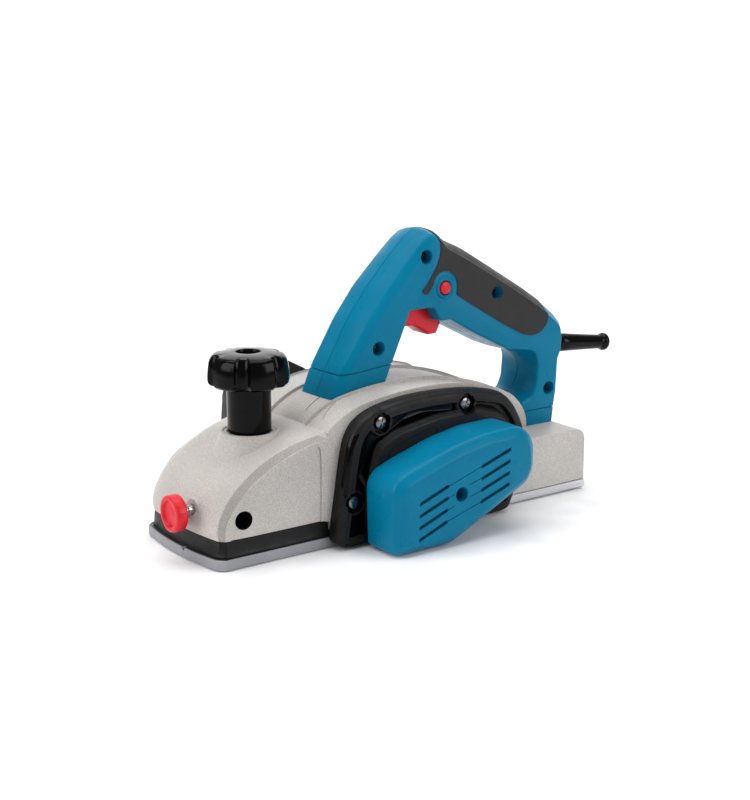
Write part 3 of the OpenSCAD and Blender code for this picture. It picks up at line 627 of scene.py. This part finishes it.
add(posts, rod("guide_tube", "y", GUIDE, 8.5, -42, 42, 48), rod("stud_tube", "x", STUD, 6.5, -208, -191, 32))
add(body, posts, smooth=26)
cut(body,
    rod("guide", "y", GUIDE, 5.6, -50, 50, 56),
    rod("well", "z", KNOB, 13.9, 66.4, 80, 72),
    rod("spindle", "z", KNOB, 4.1, 40, 80, 32),
    rod("slide_left", "z", (POST[0], -POST[1], 0), 5.1, 20, 56, 32),
    rod("slide_right", "z", (POST[0], POST[1], 0), 5.1, 20, 56, 32),
    rod("stud_hole", "x", STUD, 3.3, -220, -192, 24), smooth=26)
for i in range(-3, 4):
    z = MOTOR[2] + i * 6
    for x0, w in ((MOTOR[0] - 27 + abs(i), 10), (MOTOR[0] + 14 + abs(i) * 0.5, 10 - abs(i))):
        cut(body, block("vent", (x0, 40.5, z - 1.4), (x0 + w, 47, z + 1.4), 0.6, 2), smooth=26)
for p in CHUTE_SCREWS:
    cut(body, rod("tap", "y", on_side(p), 2.0, 50, 58), smooth=26)
body.name = "casting"
place(body, "body", "cast", ["body_casting"], extra=("cast_band_painted_shade", "hole"))
# painted shade: a darker copy of the cast grey on the chamfer band round the sunk panels, and near-black in
# the guide hole's bore, for the shade that falls there
for f in body.data.polygons:
    c = f.center * 1000
    if -207.5 < c.x < -134.5 and 40.3 < abs(c.y) < 44.75 and c.z > 17.4 and 0.3 < abs(f.normal.y) < 0.93:
        f.material_index = 1
    if math.hypot(c.x - GUIDE[0], c.z - GUIDE[2]) < 5.9 and abs(f.normal.y) < 0.3:
        f.material_index = 2


# ---- soles -------------------------------------------------------------------------

shoe = plates("front_plate", plan(-212.3, 44.8, -104.6), [(0, 0.5), (0.5, 0), (6.0, 0), (6.5, 0.45)])
notch = plates("notch", [(-215, -11.2), (-215, -6.4), (-210.2, -8.6)], [(4.6, 0), (8, -1.4)])
cut(shoe, notch)
place(shoe, "front_shoe", "lip", ["front_shoe"], extra=("lip_top", "sole"))
for f in shoe.data.polygons:
    f.material_index = 1 if f.normal.z > 0.9 else 2 if f.normal.z < -0.9 else 0
stem = lathe("shoe_column", [(0.02, 6.2), (15, 6.2), (13.5, 8), (13.5, 27.2), (12.8, 28), (0.02, 28)], KNOB,
             "z", 48)
for s in (-1, 1):
    add(stem, lathe("post", [(0.02, 6.2), (6.2, 6.2), (5, 8), (5, 49.4), (4.4, 50), (0.02, 50)],
                    (POST[0], s * POST[1], 0), "z", 32),
        block("web", (-196, s * 36 - 2, 6.2), (-136, s * 36 + 2, 15.4), 0.6))
cut(stem, rod("bore", "z", KNOB, 4.06, 9, 30, 32))
place(stem, "front_shoe", "sole")

skirt = plates("skirt", plan(-209.9, 43.4, -131), [(6.5, 0.0), (7.6, -0.1), (8.4, 0.35), (8.9, 0.6),
                                                   (14, 1.0), (17.0, 1.4), (17.4, 1.9)])
cut(skirt, plates("skirt_in", plan(-206.2, 40.2, -128), [(5, 0), (19, 0)]))
place(skirt, "front_shoe", "black_grain", ["front_shoe_skirt"])

rear_sole = plates("rear_plate", [(-70.6, -45), (77.4, -45), (77.4, 45), (-70.6, 45)],
                   [(0, 1.6), (0.25, 1.1), (1.3, 0.0), (6.2, 0.0)])
place(rear_sole, "body", "sole", ["rear_sole"])


# ---- knobs -------------------------------------------------------------------------

def lobes(a, r, h):
    """Six broad lobes with concave flutes between them, fading out towards the middle."""
    if r < 14 or h < 90:
        return r
    off = abs((math.degrees(a) - 49.5 + 30) % 60 - 30)
    depth = 3.5 * min(1.0, max(0.0, (r - 17.5) / 5.0))
    if off < 11:
        return r - depth * math.sqrt(1 - (off / 11) ** 2)
    return r + 0.12 * max(0.0, 1 - abs(off - 12.5) / 1.5)


knob = lathe("knob", [(0.02, 67.6), (13.0, 67.6), (13.35, 68.2), (13.35, 90), (13.5, 94.6), (15.4, 95.4),
                      (20.4, 95.7), (22.8, 96.4), (24.2, 97.8), (24.68, 99.8), (24.6, 103), (24.2, 107),
                      (23.6, 110.6), (22.9, 112.6), (21.9, 113.9), (20.9, 114.7), (20.0, 115.0), (14, 115.7),
                      (8.4, 116.3), (7.7, 116.2), (7.3, 115.4), (7.3, 112.5), (7.0, 112), (0.02, 112)],
             KNOB, "z", 240, lobes, 30)
place(knob, "depth_knob", "black_gloss", ["depth_knob"])

thumb = lathe("thumb_knob", [(0.02, -216.5), (10.0, -216.5), (10.9, -217.2), (11.1, -218), (11.1, -222.4),
                             (10.7, -223.6), (9.9, -224.0), (8.5, -224.0), (7.7, -223.5), (7.3, -222.5),
                             (6.4, -222.1), (3.2, -222.2), (2.2, -222.4), (0.02, -222.5)],
              STUD, "x", 96, lambda a, r, h: r - (0.18 if r > 10.8 and math.sin(30 * a) > 0.3 else 0), 40)
place(thumb, "guide_screw", "red", ["guide_thumb_knob"])


# ---- side cover --------------------------------------------------------------------

cover_line = even(curve([(-126.5, 0.6), (-130.8, 3.2), (-132.9, 8), (-131.6, 18), (-129.0, 34), (-127, 47),
                         (-124.8, 59), (-121.8, 68.4), (-115.2, 76.7), (-102.6, 82.6), (-82.5, 86.1),
                         (-58.9, 87.0), (-31.5, 85.4), (-14.2, 82.3), (-4.2, 79.1), (3.9, 71.8), (9.9, 62.6),
                         (13.3, 54.6), (14.4, 46.5), (13.0, 32.5), (9.2, 18), (4.6, 7), (1.6, 2.2),
                         (-3.5, 0.6)], 8), 260)
plateau_line = [(-109.5, 5, 3), (-110.5, 47, 8), (-106, 62, 10), (-92, 68.8, 30), (-60, 74.2, 60),
                (-27, 74.8, 30), (-9, 69.6, 20), (2.5, 58, 14), (5.0, 42, 12), (-4, 12, 6), (-14, 5, 3)]
cover = slab("side_cover", cover_line, [(-45.02, 0.0), (-46.0, -0.15), (-51.0, 0.0), (-53.4, 0.6),
                                        (-54.7, 1.6), (-55.3, 3.0), (-55.5, 4.4), (-55.6, 6.1), (-56.1, 6.45),
                                        (-56.15, 7.0), (-55.6, 7.35), (-53.0, 8.1), (-52.7, 8.6)], 28)
add(cover, slab("plateau", plateau_line, [(-48, 0), (-54.9, 0.0), (-55.3, 0.25), (-57.4, 1.9), (-57.9, 2.6),
                                          (-58.0, 3.6)], 30), smooth=30)
panel = [(-98, 30, 2), (-101.5, 47, 6), (-96, 59.5, 7), (-61, 68.6, 4), (-59.6, 50, 4), (-62, 30, 2)]
mark = slab("panel_line", panel, [(-57.65, 0), (-59, 0)])
cut(mark, slab("panel_in", panel, [(-57, 0.55), (-60, 0.55)]))
cut(cover, mark, smooth=35)
for p in COVER_SCREWS:
    add(cover, lathe("pad", [(0.02, -50), (8.6, -50), (8.2, -54.6), (7.6, -55.2), (0.02, -55.2)], on_side(p),
                     "y", 48), smooth=35)
cut(cover, rod("drum_way", "y", DRUM, 13.2, -54.2, -44, 48), rod("drum_way", "y", DRUM, 7, -62, -50, 48),
    rod("motor_way", "y", MOTOR, 11.2, -54.2, -44, 48), rod("motor_way", "y", MOTOR, 5.5, -62, -50, 48),
    smooth=35)
for p in COVER_SCREWS:
    cut(cover, lathe("pocket", [(0.02, -62), (7.0, -62), (6.5, -54.4), (5.9, -52.2), (0.02, -52.2)],
                     on_side(p), "y", 48,
                     lambda a, r, h: r - (0.7 if r > 6 and math.cos(5 * a + 1.2) > 0.75 else 0)), smooth=35)
place(cover, "body", "black_grain", ["side_cover"], extra=("black_gloss",))
# glossy screw pockets and front channel
for f in cover.data.polygons:
    c = f.center * 1000
    near = min(math.hypot(c.x - p[0], c.z - p[1]) for p in COVER_SCREWS)
    if near < 7.4 and c.y > -55.0 or -128 < c.x < -96 and -55.1 < c.y < -50 and c.z < 70:
        f.material_index = 1


# ---- belt cover --------------------------------------------------------------------

belt_line = [(-113.6, 0.9, 3.5), (-114.8, 46.0, 13), (-98, 52.6, 60), (-68.6, 61.4, 90), (-45, 65.6, 60),
             (-4.6, 66.8, 19), (-4.8, 31.0, 17), (-43.2, 13.2, 120), (-70, 1.0, 14)]
belt = slab("belt_cover", belt_line, [(-58.0, 0.3), (-60.0, 0.3), (-60.4, 0.0), (-70, 0.05), (-81.8, 0.2),
                                      (-83.6, 0.5), (-84.5, 1.1), (-85.9, 2.9), (-87.2, 4.7), (-87.75, 5.5),
                                      (-88.0, 6.4)], 40)


def bar(x0, z0, x1, z1, h, y0, y1, name="slot"):
    """A slot with upright ends, between two points on its lower edge."""
    return skin(name, [[(x0, y, z0), (x1, y, z1), (x1, y, z1 + h), (x0, y, z0 + h)] for y in (y0, y1)], 30)


room = slab("belt_room", belt_line, [(-57, 2.4), (-83.4, 2.4), (-83.8, 3.0)])
cut(room, rod("pillar", "y", on_side(BELT_SCREW), 5.6, -90, -50, 40))
cut(belt, room, smooth=35)
slots = (((-97.2, 30.2), (-75.4, 37.9)), ((-97.3, 22.7), (-75.9, 30.4)), ((-97.6, 15.3), (-76.3, 23.1)),
         ((-97.8, 7.9), (-76.4, 15.9)), ((-50.2, 45.3), (-27.0, 52.7)), ((-50.2, 37.7), (-27.4, 45.3)),
         ((-50.4, 30.4), (-27.6, 38.0)), ((-50.7, 23.1), (-27.9, 30.7)))
cut(belt, *[bar(*a, *b, 2.3, -92, -85.0) for a, b in slots], smooth=35)
grooves = (((-75.5, 38.6), (-50.0, 46.6)), ((-75.9, 31.2), (-71.0, 32.8)), ((-59.6, 36.6), (-50.0, 39.2)),
           ((-76.3, 23.8), (-71, 25.6)), ((-59.6, 28.9), (-50.2, 31.4)), ((-76.4, 16.8), (-50.6, 24.2)))
for a, b in grooves:
    cut(belt, bar(*a, *b, 0.5, -92, -87.4, "groove"), smooth=35)
cut(belt, lathe("screw_well", [(0.02, -92), (5.0, -92), (4.9, -88.0), (4.4, -87.5), (4.3, -76), (0.02, -76)],
                on_side(BELT_SCREW), "y", 48), smooth=35)
place(belt, "body", "blue", ["belt_cover"], extra=("recess_shade_blue",))
# painted shade: the bottoms of the slots and of the screw well take a darker blue, for the shade inside them
for f in belt.data.polygons:
    if f.normal.y < -0.9 and -87.0 < f.center.y * 1000 < -75.5:
        f.material_index = 1


# ---- handle ------------------------------------------------------------------------

# The handle's outline from the front foot round: its front face as (x, z) in the middle plane, how far
# inside it the face's crease and the side's edge lie, and the corner's radius; then the rest as (x, z) in
# the middle plane, (x, z) at the side's edge and the radius.
FRONT = [
    ((-112.8, 78.6), (0.6, 6.6), 0), ((-108.0, 90.2), (0.5, 6.2), 40), ((-104.5, 98), (0.4, 5.4), 60),
    ((-98.3, 108.8), (1.6, 5.6), 60), ((-87.3, 127.6), (3.8, 7.0), 60), ((-72.4, 146.8), (4.8, 9.2), 60),
    ((-55.5, 164.6), (4.4, 9.2), 60), ((-43.5, 175.6), (3.0, 7.8), 30), ((-34.2, 181.9), (2.6, 6.6), 7),
]
REST = [
    ((-24.5, 178.6), (-28.6, 174.6), 8), ((-17.0, 172.6), (-22.5, 168.4), 20),
    ((-1.4, 166.0), (-5.2, 159.5), 60), ((23.2, 151.8), (19.2, 145.6), 60),
    ((50.4, 135.9), (46.0, 129.8), 60), ((69.2, 123.9), (63.5, 118.6), 40),
    ((79.0, 116.2), (72.0, 112.6), 20), ((86.0, 109.0), (77.2, 107.0), 6), ((86.6, 99.0), (78.4, 99.0), 12),
    ((85.0, 90.5), (77.4, 90.5), 6), ((79.2, 85.2), (75.0, 85.4), 5), ((78.2, 64.0), (74.0, 64.0), 20),
    ((76.6, 52.6), (72.2, 52.6), 10), ((75.5, 39.0), (70.7, 39.0), 0), ((47.5, 39.0), (47.5, 39.0), 0),
    ((46.2, 46.5), (46.2, 46.5), 3), ((40.6, 57.0), (41.8, 57.0), 0.5), ((41.8, 60.6), (43.0, 59.6), 0.5),
    ((49.0, 65.2), (51.6, 61.8), 8), ((54.6, 73.5), (55.4, 70.5), 12), ((54.6, 83.5), (56.4, 84.5), 12),
    ((48.4, 91.4), (53.6, 93.6), 8), ((30.0, 96.6), (30.0, 97.2), 20), ((0.8, 111.0), (0.8, 111.8), 40),
    ((-17.8, 121.4), (-18.6, 122.6), 5), ((-27.4, 121.4), (-27.6, 122.4), 4),
    ((-33.0, 131.6), (-33.2, 132.0), 4), ((-51.2, 131.8), (-51.6, 131.8), 2),
    ((-55.2, 122.4), (-55.8, 122.1), 40), ((-61.0, 109.2), (-61.7, 109.0), 60),
    ((-66.2, 98.0), (-66.9, 98.0), 30), ((-72.6, 83.4), (-73.2, 83.4), 0),
    ((-80.0, 82.6), (-80.0, 82.6), 0), ((-95.0, 80.8), (-95.0, 80.8), 0),
]

SIDE = 19.0      # distance of the side face from the middle plane
CREASE = 15.5    # distance of the front face's crease
ROUND = 1.8      # radius of the side face's edge
GROOVE = 0.35    # bevel at the joint between the halves


def handle_loop(y, s, out=0.0):
    """The handle's section at a distance y from its middle plane, on side s; out grows it."""
    y = abs(y)
    soft = min(1.0, y / (SIDE - ROUND)) ** 2.1
    far = (0.25, 0.6) if s > 0 else (1, 1)    # the front face is squarer on the right
    d = 0.0
    if y > SIDE - ROUND:
        k = min(1.0, (y - (SIDE - ROUND)) / ROUND)
        d = ROUND * (1 - math.sqrt(max(0.0, 1 - k * k)))
    corners = []
    middle = [c[0] for c in FRONT + REST]
    for i, (a, (crease, edge), r) in enumerate(FRONT):
        p, q = middle[max(0, i - 1)], middle[i + 1]
        t = Vector((q[0] - p[0], q[1] - p[1])).normalized()
        top = max(0, i - 5) / 3
        crease *= far[0] + (1 - far[0]) * top
        edge *= far[1] + (1 - far[1]) * top
        m = crease * (y / CREASE) ** 2
        if y >= CREASE:
            m = crease + (edge - crease) * ((y - CREASE) / (SIDE - CREASE))
        corners.append((a[0] + t.y * m, a[1] - t.x * m, r))
    for a, b, r in REST:
        corners.append((a[0] + (b[0] - a[0]) * soft, a[1] + (b[1] - a[1]) * soft, r))
    return shrink(corners, d - out)


LEVELS = [0.06, 3, 6, 9, 12, 14.5, CREASE, 16.3, 17.1, 17.7, 18.2, 18.6, 18.85, SIDE]


def handle_half(name, s, out=0.0, levels=LEVELS):
    """One half of the handle, from the joint between the halves, with a fine groove there, to its side."""
    rings = []
    for i, y in enumerate(levels):
        corners = handle_loop(y, s, out)
        if i == 0:
            rings.append([(x, s * y, z) for x, z in line(corners, GROOVE, 6)])
            rings.append([(x, s * (y + GROOVE), z) for x, z in line(corners, 0.0, 6)])
        else:
            rings.append([(x, s * (y + out), z) for x, z in line(corners, 0.0, 6)])
    return skin(name, rings, 38)


grip_line = rounded([(-31.5, 190, 0), (-29.0, 174, 6), (-28.4, 166.5, 10), (-31.6, 158.6, 8),
                     (-37.0, 150.4, 10), (-43.6, 142.6, 1.5), (-39.2, 140.4, 1.5), (-34.4, 146.4, 2),
                     (-33.8, 150, 6), (-28.5, 154.6, 8), (-21.5, 154.4, 8), (-15.4, 149.5, 6),
                     (-14.6, 142.5, 4), (-14.8, 138.2, 1.5), (0.7, 128.9, 40), (27.2, 113.7, 40),
                     (41.7, 106.4, 20), (49.6, 104.4, 12), (57.0, 105.6, 10), (63.2, 110.4, 8),
                     (64.6, 116.5, 8), (63.0, 123.0, 8), (70, 135, 0), (60, 175, 0), (0, 190, 0)], 6)


def foot_groove(s, x0, x1, z0, slope):
    """Thin groove round a foot of the handle."""
    lo, hi = z0 - 0.4, z0 + 0.4
    band = skin("groove", [[(x0, y, lo + slope * x0), (x1, y, lo + slope * x1),
                            (x1, y, hi + slope * x1), (x0, y, hi + slope * x0)] for y in (-25, 25)], 30)
    return cut(band, handle_half("core", s, -0.8, [-1] + LEVELS[1:]))


GUARD_TILT = math.radians(6)


def guard_ring(t, r, n):
    """Circle round the cord guard's axis, t along it from the handle's rear face."""
    ring = []
    for i in range(n):
        u, v = r * math.cos(2 * math.pi * i / n), r * math.sin(2 * math.pi * i / n)
        ring.append((90 + t * math.cos(GUARD_TILT) + u * math.sin(GUARD_TILT), v,
                     92 - t * math.sin(GUARD_TILT) + u * math.cos(GUARD_TILT)))
    return ring


for s, side in ((-1, "left"), (1, "right")):
    shell = handle_half("handle_" + side, s)
    cut(shell, block("trigger_slot", (-52.2, -9.3, 108), (-16.4, 9.3, 142), 0.4), smooth=38)
    cut(shell, foot_groove(s, -120, -55, 105.7, 0.085), foot_groove(s, 30, 90, 52.9, 0.0), smooth=38)
    if s < 0:
        for p in HANDLE_SCREWS:
            cut(shell, lathe("well", [(0.02, -30), (5.2, -30), (5.2, -19.4), (4.6, -18.9), (4.3, -18.2),
                                      (4.2, -11), (0.02, -11)],
                             on_side(p), "y", 40), smooth=38)
        add(shell, lathe("lock_boss", [(0.02, -17), (10.2, -17), (9.8, -19.0), (9.0, -19.5), (8.2, -19.6),
                                       (7.4, -19.4), (6.9, -19.5), (6.6, -20.1), (6.0, -20.6), (5.4, -20.6),
                                       (4.9, -20.2), (0.02, -20.2)], LOCK, "y", 64), smooth=38)
        cut(shell, rod("lock_hole", "y", LOCK, 4.75, -30, 1, 48), smooth=38)
    cut(shell, skin("guard_seat", [guard_ring(-14, 6.9, 40), guard_ring(10, 6.9, 40)]), smooth=38)
    grip = handle_half("grip_" + side, s, 0.45)
    region = skin("region", [[(x, y, z) for x, z in grip_line] for y in (-30, 30)])
    combine(grip, region, "INTERSECT", smooth=38)
    cut(grip, handle_half("grip_in", s, -1.2, [-1] + LEVELS[1:]), smooth=38)
    cut(grip, lathe("grip_well", [(0.02, -30), (5.0, -30), (4.5, -19.2), (4.4, -10), (0.02, -10)],
                    on_side(HANDLE_SCREWS[2]), "y", 40), smooth=38)
    place(shell, "body", "blue", ["handle_" + side], extra=("recess_shade_blue",))
    place(grip, "body", "grip", ["grip_" + side])

trigger_line = rounded([(-50.2, 120.2, 1.5), (-50.6, 140.2, 3), (-42, 140.6, 3), (-38.5, 131.2, 5),
                        (-29.5, 130.2, 8), (-23.4, 126, 6), (-19.4, 119.6, 2.4), (-22.8, 112.6, 2.2),
                        (-29.4, 112.4, 3), (-35.5, 116.6, 8), (-41, 119.4, 6)], 7)
trigger = slab("trigger", trigger_line, [(-9, 1.7), (-8.8, 1.0), (-8.2, 0.35), (-7.2, 0), (7.2, 0),
                                         (8.2, 0.35), (8.8, 1.0), (9, 1.7)], 40)
place(trigger, "trigger", "red", ["trigger"])

button = lathe("lock_button", [(0.02, -12.2), (4.1, -12.2), (4.1, -20.4), (3.8, -21.0), (3.0, -21.4),
                               (1.7, -21.6), (0.02, -21.65)], LOCK, "y", 48)
place(button, "lock_button", "red", ["lock_button"])


# ---- cord guard, chute, screws -----------------------------------------------------

guard_profile = [(-16, 3.3), (-16, 6.5), (-10, 6.5), (-10, 8), (-6.8, 8), (-6.8, 6.5), (-4, 6.6), (1.6, 6.6),
                 (2.0, 6.2), (2.6, 6.0), (3.4, 6.3), (9, 6.25), (24, 5.6), (40, 5.0), (42.4, 5.1),
                 (43.6, 5.9), (44.8, 6.25), (46.2, 6.2), (47.0, 5.7), (47.4, 4.9), (47.4, 3.6), (47.0, 3.3)]
guard = skin("cord_guard", [guard_ring(t, r, 48) for t, r in guard_profile], 36, close=True)
place(guard, "body", "black_gloss", ["cord_guard"])

chute_line = [(-140, 50, 6), (-138, 76, 8), (-116, 94.5, 12), (-96, 93.5, 14), (-78, 84, 8), (-78, 56, 8),
              (-92, 48, 8)]
chute = slab("chip_chute", chute_line, [(57.02, 0.4), (57.6, 0), (67.6, 0.0), (69.2, 0.6), (70, 2.2)], 34)
add(chute, lathe("spigot", [(0.02, 66), (20, 66), (20, 70), (18.4, 71.4), (18, 72.5), (18, 79.2), (17.4, 80),
                            (0.02, 80)], OUTLET, "y", 72), smooth=34)
cut(chute, lathe("outlet", [(0.02, 56), (14.6, 56), (14.8, 62), (16, 66), (16, 79.4), (16.5, 82), (0.02, 82)],
                 OUTLET, "y", 72), smooth=34)
for p in CHUTE_SCREWS:
    cut(chute, rod("hole", "y", on_side(p), 2.1, 50, 72, 24), smooth=34)
place(chute, "body", "chute", ["chip_chute"])


def cross_screw(name, at, y, direction, head_r, head_h, shank_r, shank):
    """Pan head with a cross recess; direction is the way the head faces along Y."""
    s = direction
    profile = [(0.02, y - s * shank), (shank_r * 0.6, y - s * shank), (shank_r, y - s * (shank - 1)),
               (shank_r, y), (head_r, y), (head_r, y + s * head_h * 0.45),
               (head_r * 0.86, y + s * head_h * 0.8),
               (head_r * 0.55, y + s * head_h * 0.97), (0.02, y + s * head_h)]
    head = lathe(name, profile, on_side(at), "y", 36)
    for a in (20, 110):
        arm = block("arm", (-head_r * 0.62, -1.1, -0.42), (head_r * 0.62, 1.1, 0.42))
        turn(arm, Matrix.Rotation(math.radians(a), 4, "Y"))
        turn(arm, Matrix.Translation((at[0], y + s * head_h, at[1])))
        cut(head, arm)
    return head


def screws(name, places, y, direction, sizes, node):
    """Equal screws of the body as one piece; sizes are head radius and height, shank radius and length."""
    first = cross_screw(name, places[0], y, direction, *sizes)
    for p in places[1:]:
        more = cross_screw(name, p, y, direction, *sizes)
        bm = bmesh.new()
        bm.from_mesh(first.data)
        bm.from_mesh(more.data)
        bm.to_mesh(first.data)
        bm.free()
        bpy.data.objects.remove(more)
    shade(first, 30)
    place(first, "body", "screw", [node])


screws("cover_screws", COVER_SCREWS, -52.2, -1, (4.2, 2.7, 1.95, 16), "side_cover_screws")
screws("belt_screw", [BELT_SCREW], -74, -1, (3.8, 2.6, 1.9, 18), "belt_cover_screw")
screws("shell_screws", HANDLE_SCREWS, -11, -1, (3.7, 2.5, 1.85, 22), "handle_screws")
screws("chute_screws", CHUTE_SCREWS, 70.02, 1, (3.6, 2.3, 1.9, 20), "chip_chute_screws")


# ---- carried-over CAD nodes --------------------------------------------------------

CARRIED = {
    "steel": ["depth_spindle", "depth_spring", "guide_screw_stud", "guide_screw_washer", "trigger_pin",
              "blades", "drum_bearings", "armature_bearings", "armature_shaft", "drum_pulley", "motor_pulley",
              "cutter_drum"],
    "screw": ["rear_sole_screws", "depth_retaining_ring", "guide_screw_spring", "cord_clamp_screws",
              "blade_clamps", "blade_screws", "drum_pulley_nut"],
    "nylon": ["switch_body", "cord_clamp", "cooling_fan"],
    "rubber": ["drive_belt", "carbon_brushes"],
    "copper": ["armature_core", "commutator", "field_coils"],
    "brass": ["brush_holders"],
    "iron": ["stator_core"],
    "film": ["capacitor"],
}
for key, names in CARRIED.items():
    for n in names:
        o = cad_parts[n]
        o.data.materials.clear()
        o.data.materials.append(M[key])

# ---- stage -------------------------------------------------------------------------

# Metres from here on: a floor that turns up into a wall behind the tool.
floor_mat = material("floor", (246, 246, 247), 0.85, 0.0, spread=0.01, grain=60, spec=0.1)
bm = bmesh.new()
depth, wide, rise, rad = 2.2, 6.0, 4.0, 1.2
quarter = [math.pi / 2 * i / 16 for i in range(17)]
profile = [(-3.5, 0.0), (0.5, 0.0)] + [(depth + rad * math.sin(a), rad * (1 - math.cos(a))) for a in quarter]
profile.append((depth + rad, rise))
view_dir = Vector((0.5740, 0.7843, 0)).normalized()
side_dir = Vector((view_dir.y, -view_dir.x, 0))
rows = []
for d, h in profile:
    rows.append([bm.verts.new(view_dir * d + side_dir * u + Vector((0, 0, h - 0.0004)))
                 for u in (-wide, wide)])
for a, b in zip(rows, rows[1:]):
    bm.faces.new((a[0], a[1], b[1], b[0]))
bmesh.ops.recalc_face_normals(bm, faces=bm.faces)
me = bpy.data.meshes.new("floor")
bm.to_mesh(me)
bm.free()
floor = bpy.data.objects.new("floor", me)
scene.collection.objects.link(floor)
me.polygons.foreach_set("use_smooth", [True] * len(me.polygons))
me.materials.append(floor_mat)

scene.view_settings.view_transform = "Standard"
world = bpy.data.worlds.new("studio")
scene.world = world
world.use_nodes = True
world.node_tree.nodes["Background"].inputs[0].default_value = (1, 1, 1, 1)
world.node_tree.nodes["Background"].inputs[1].default_value = 0.26


def light(name, at, target, size, power):
    """Soft box at a place, facing a target."""
    data = bpy.data.lights.new(name, "AREA")
    data.shape = "RECTANGLE"
    data.size, data.size_y = size
    data.energy = power
    o = bpy.data.objects.new(name, data)
    scene.collection.objects.link(o)
    o.location = at
    o.rotation_euler = (Vector(target) - Vector(at)).to_track_quat("-Z", "Y").to_euler()


light("left", (-1.7, 0.25, 0.9), (-0.1, 0, 0.06), (1.0, 1.3), 17)
light("right", (0.85, -1.55, 0.8), (-0.05, 0, 0.06), (0.9, 1.2), 14)
light("top", (-0.05, 0.1, 1.6), (-0.07, 0, 0.0), (1.8, 1.4), 21)
light("wall", tuple(view_dir * 1.4 + Vector((0, 0, 2.2))), tuple(view_dir * 3.3 + Vector((0, 0, 0.7))),
      (4.0, 1.0), 90)

cam_data = bpy.data.cameras.new("camera")
cam_data.lens = 67.5
cam_data.sensor_width = 36
cam_data.sensor_fit = "AUTO"
cam_data.clip_start = 0.01
cam_data.clip_end = 50
cam = bpy.data.objects.new("camera", cam_data)
scene.collection.objects.link(cam)
right, up, back = (0.8070, -0.5906, 0, 0), (0.1389, 0.1897, 0.9720, 0), (-0.5740, -0.7843, 0.2351, 0)
cam_at = (-0.61546, -0.75110, 0.29809, 1)
cam.matrix_world = Matrix((right, up, back, cam_at)).transposed()
scene.camera = cam
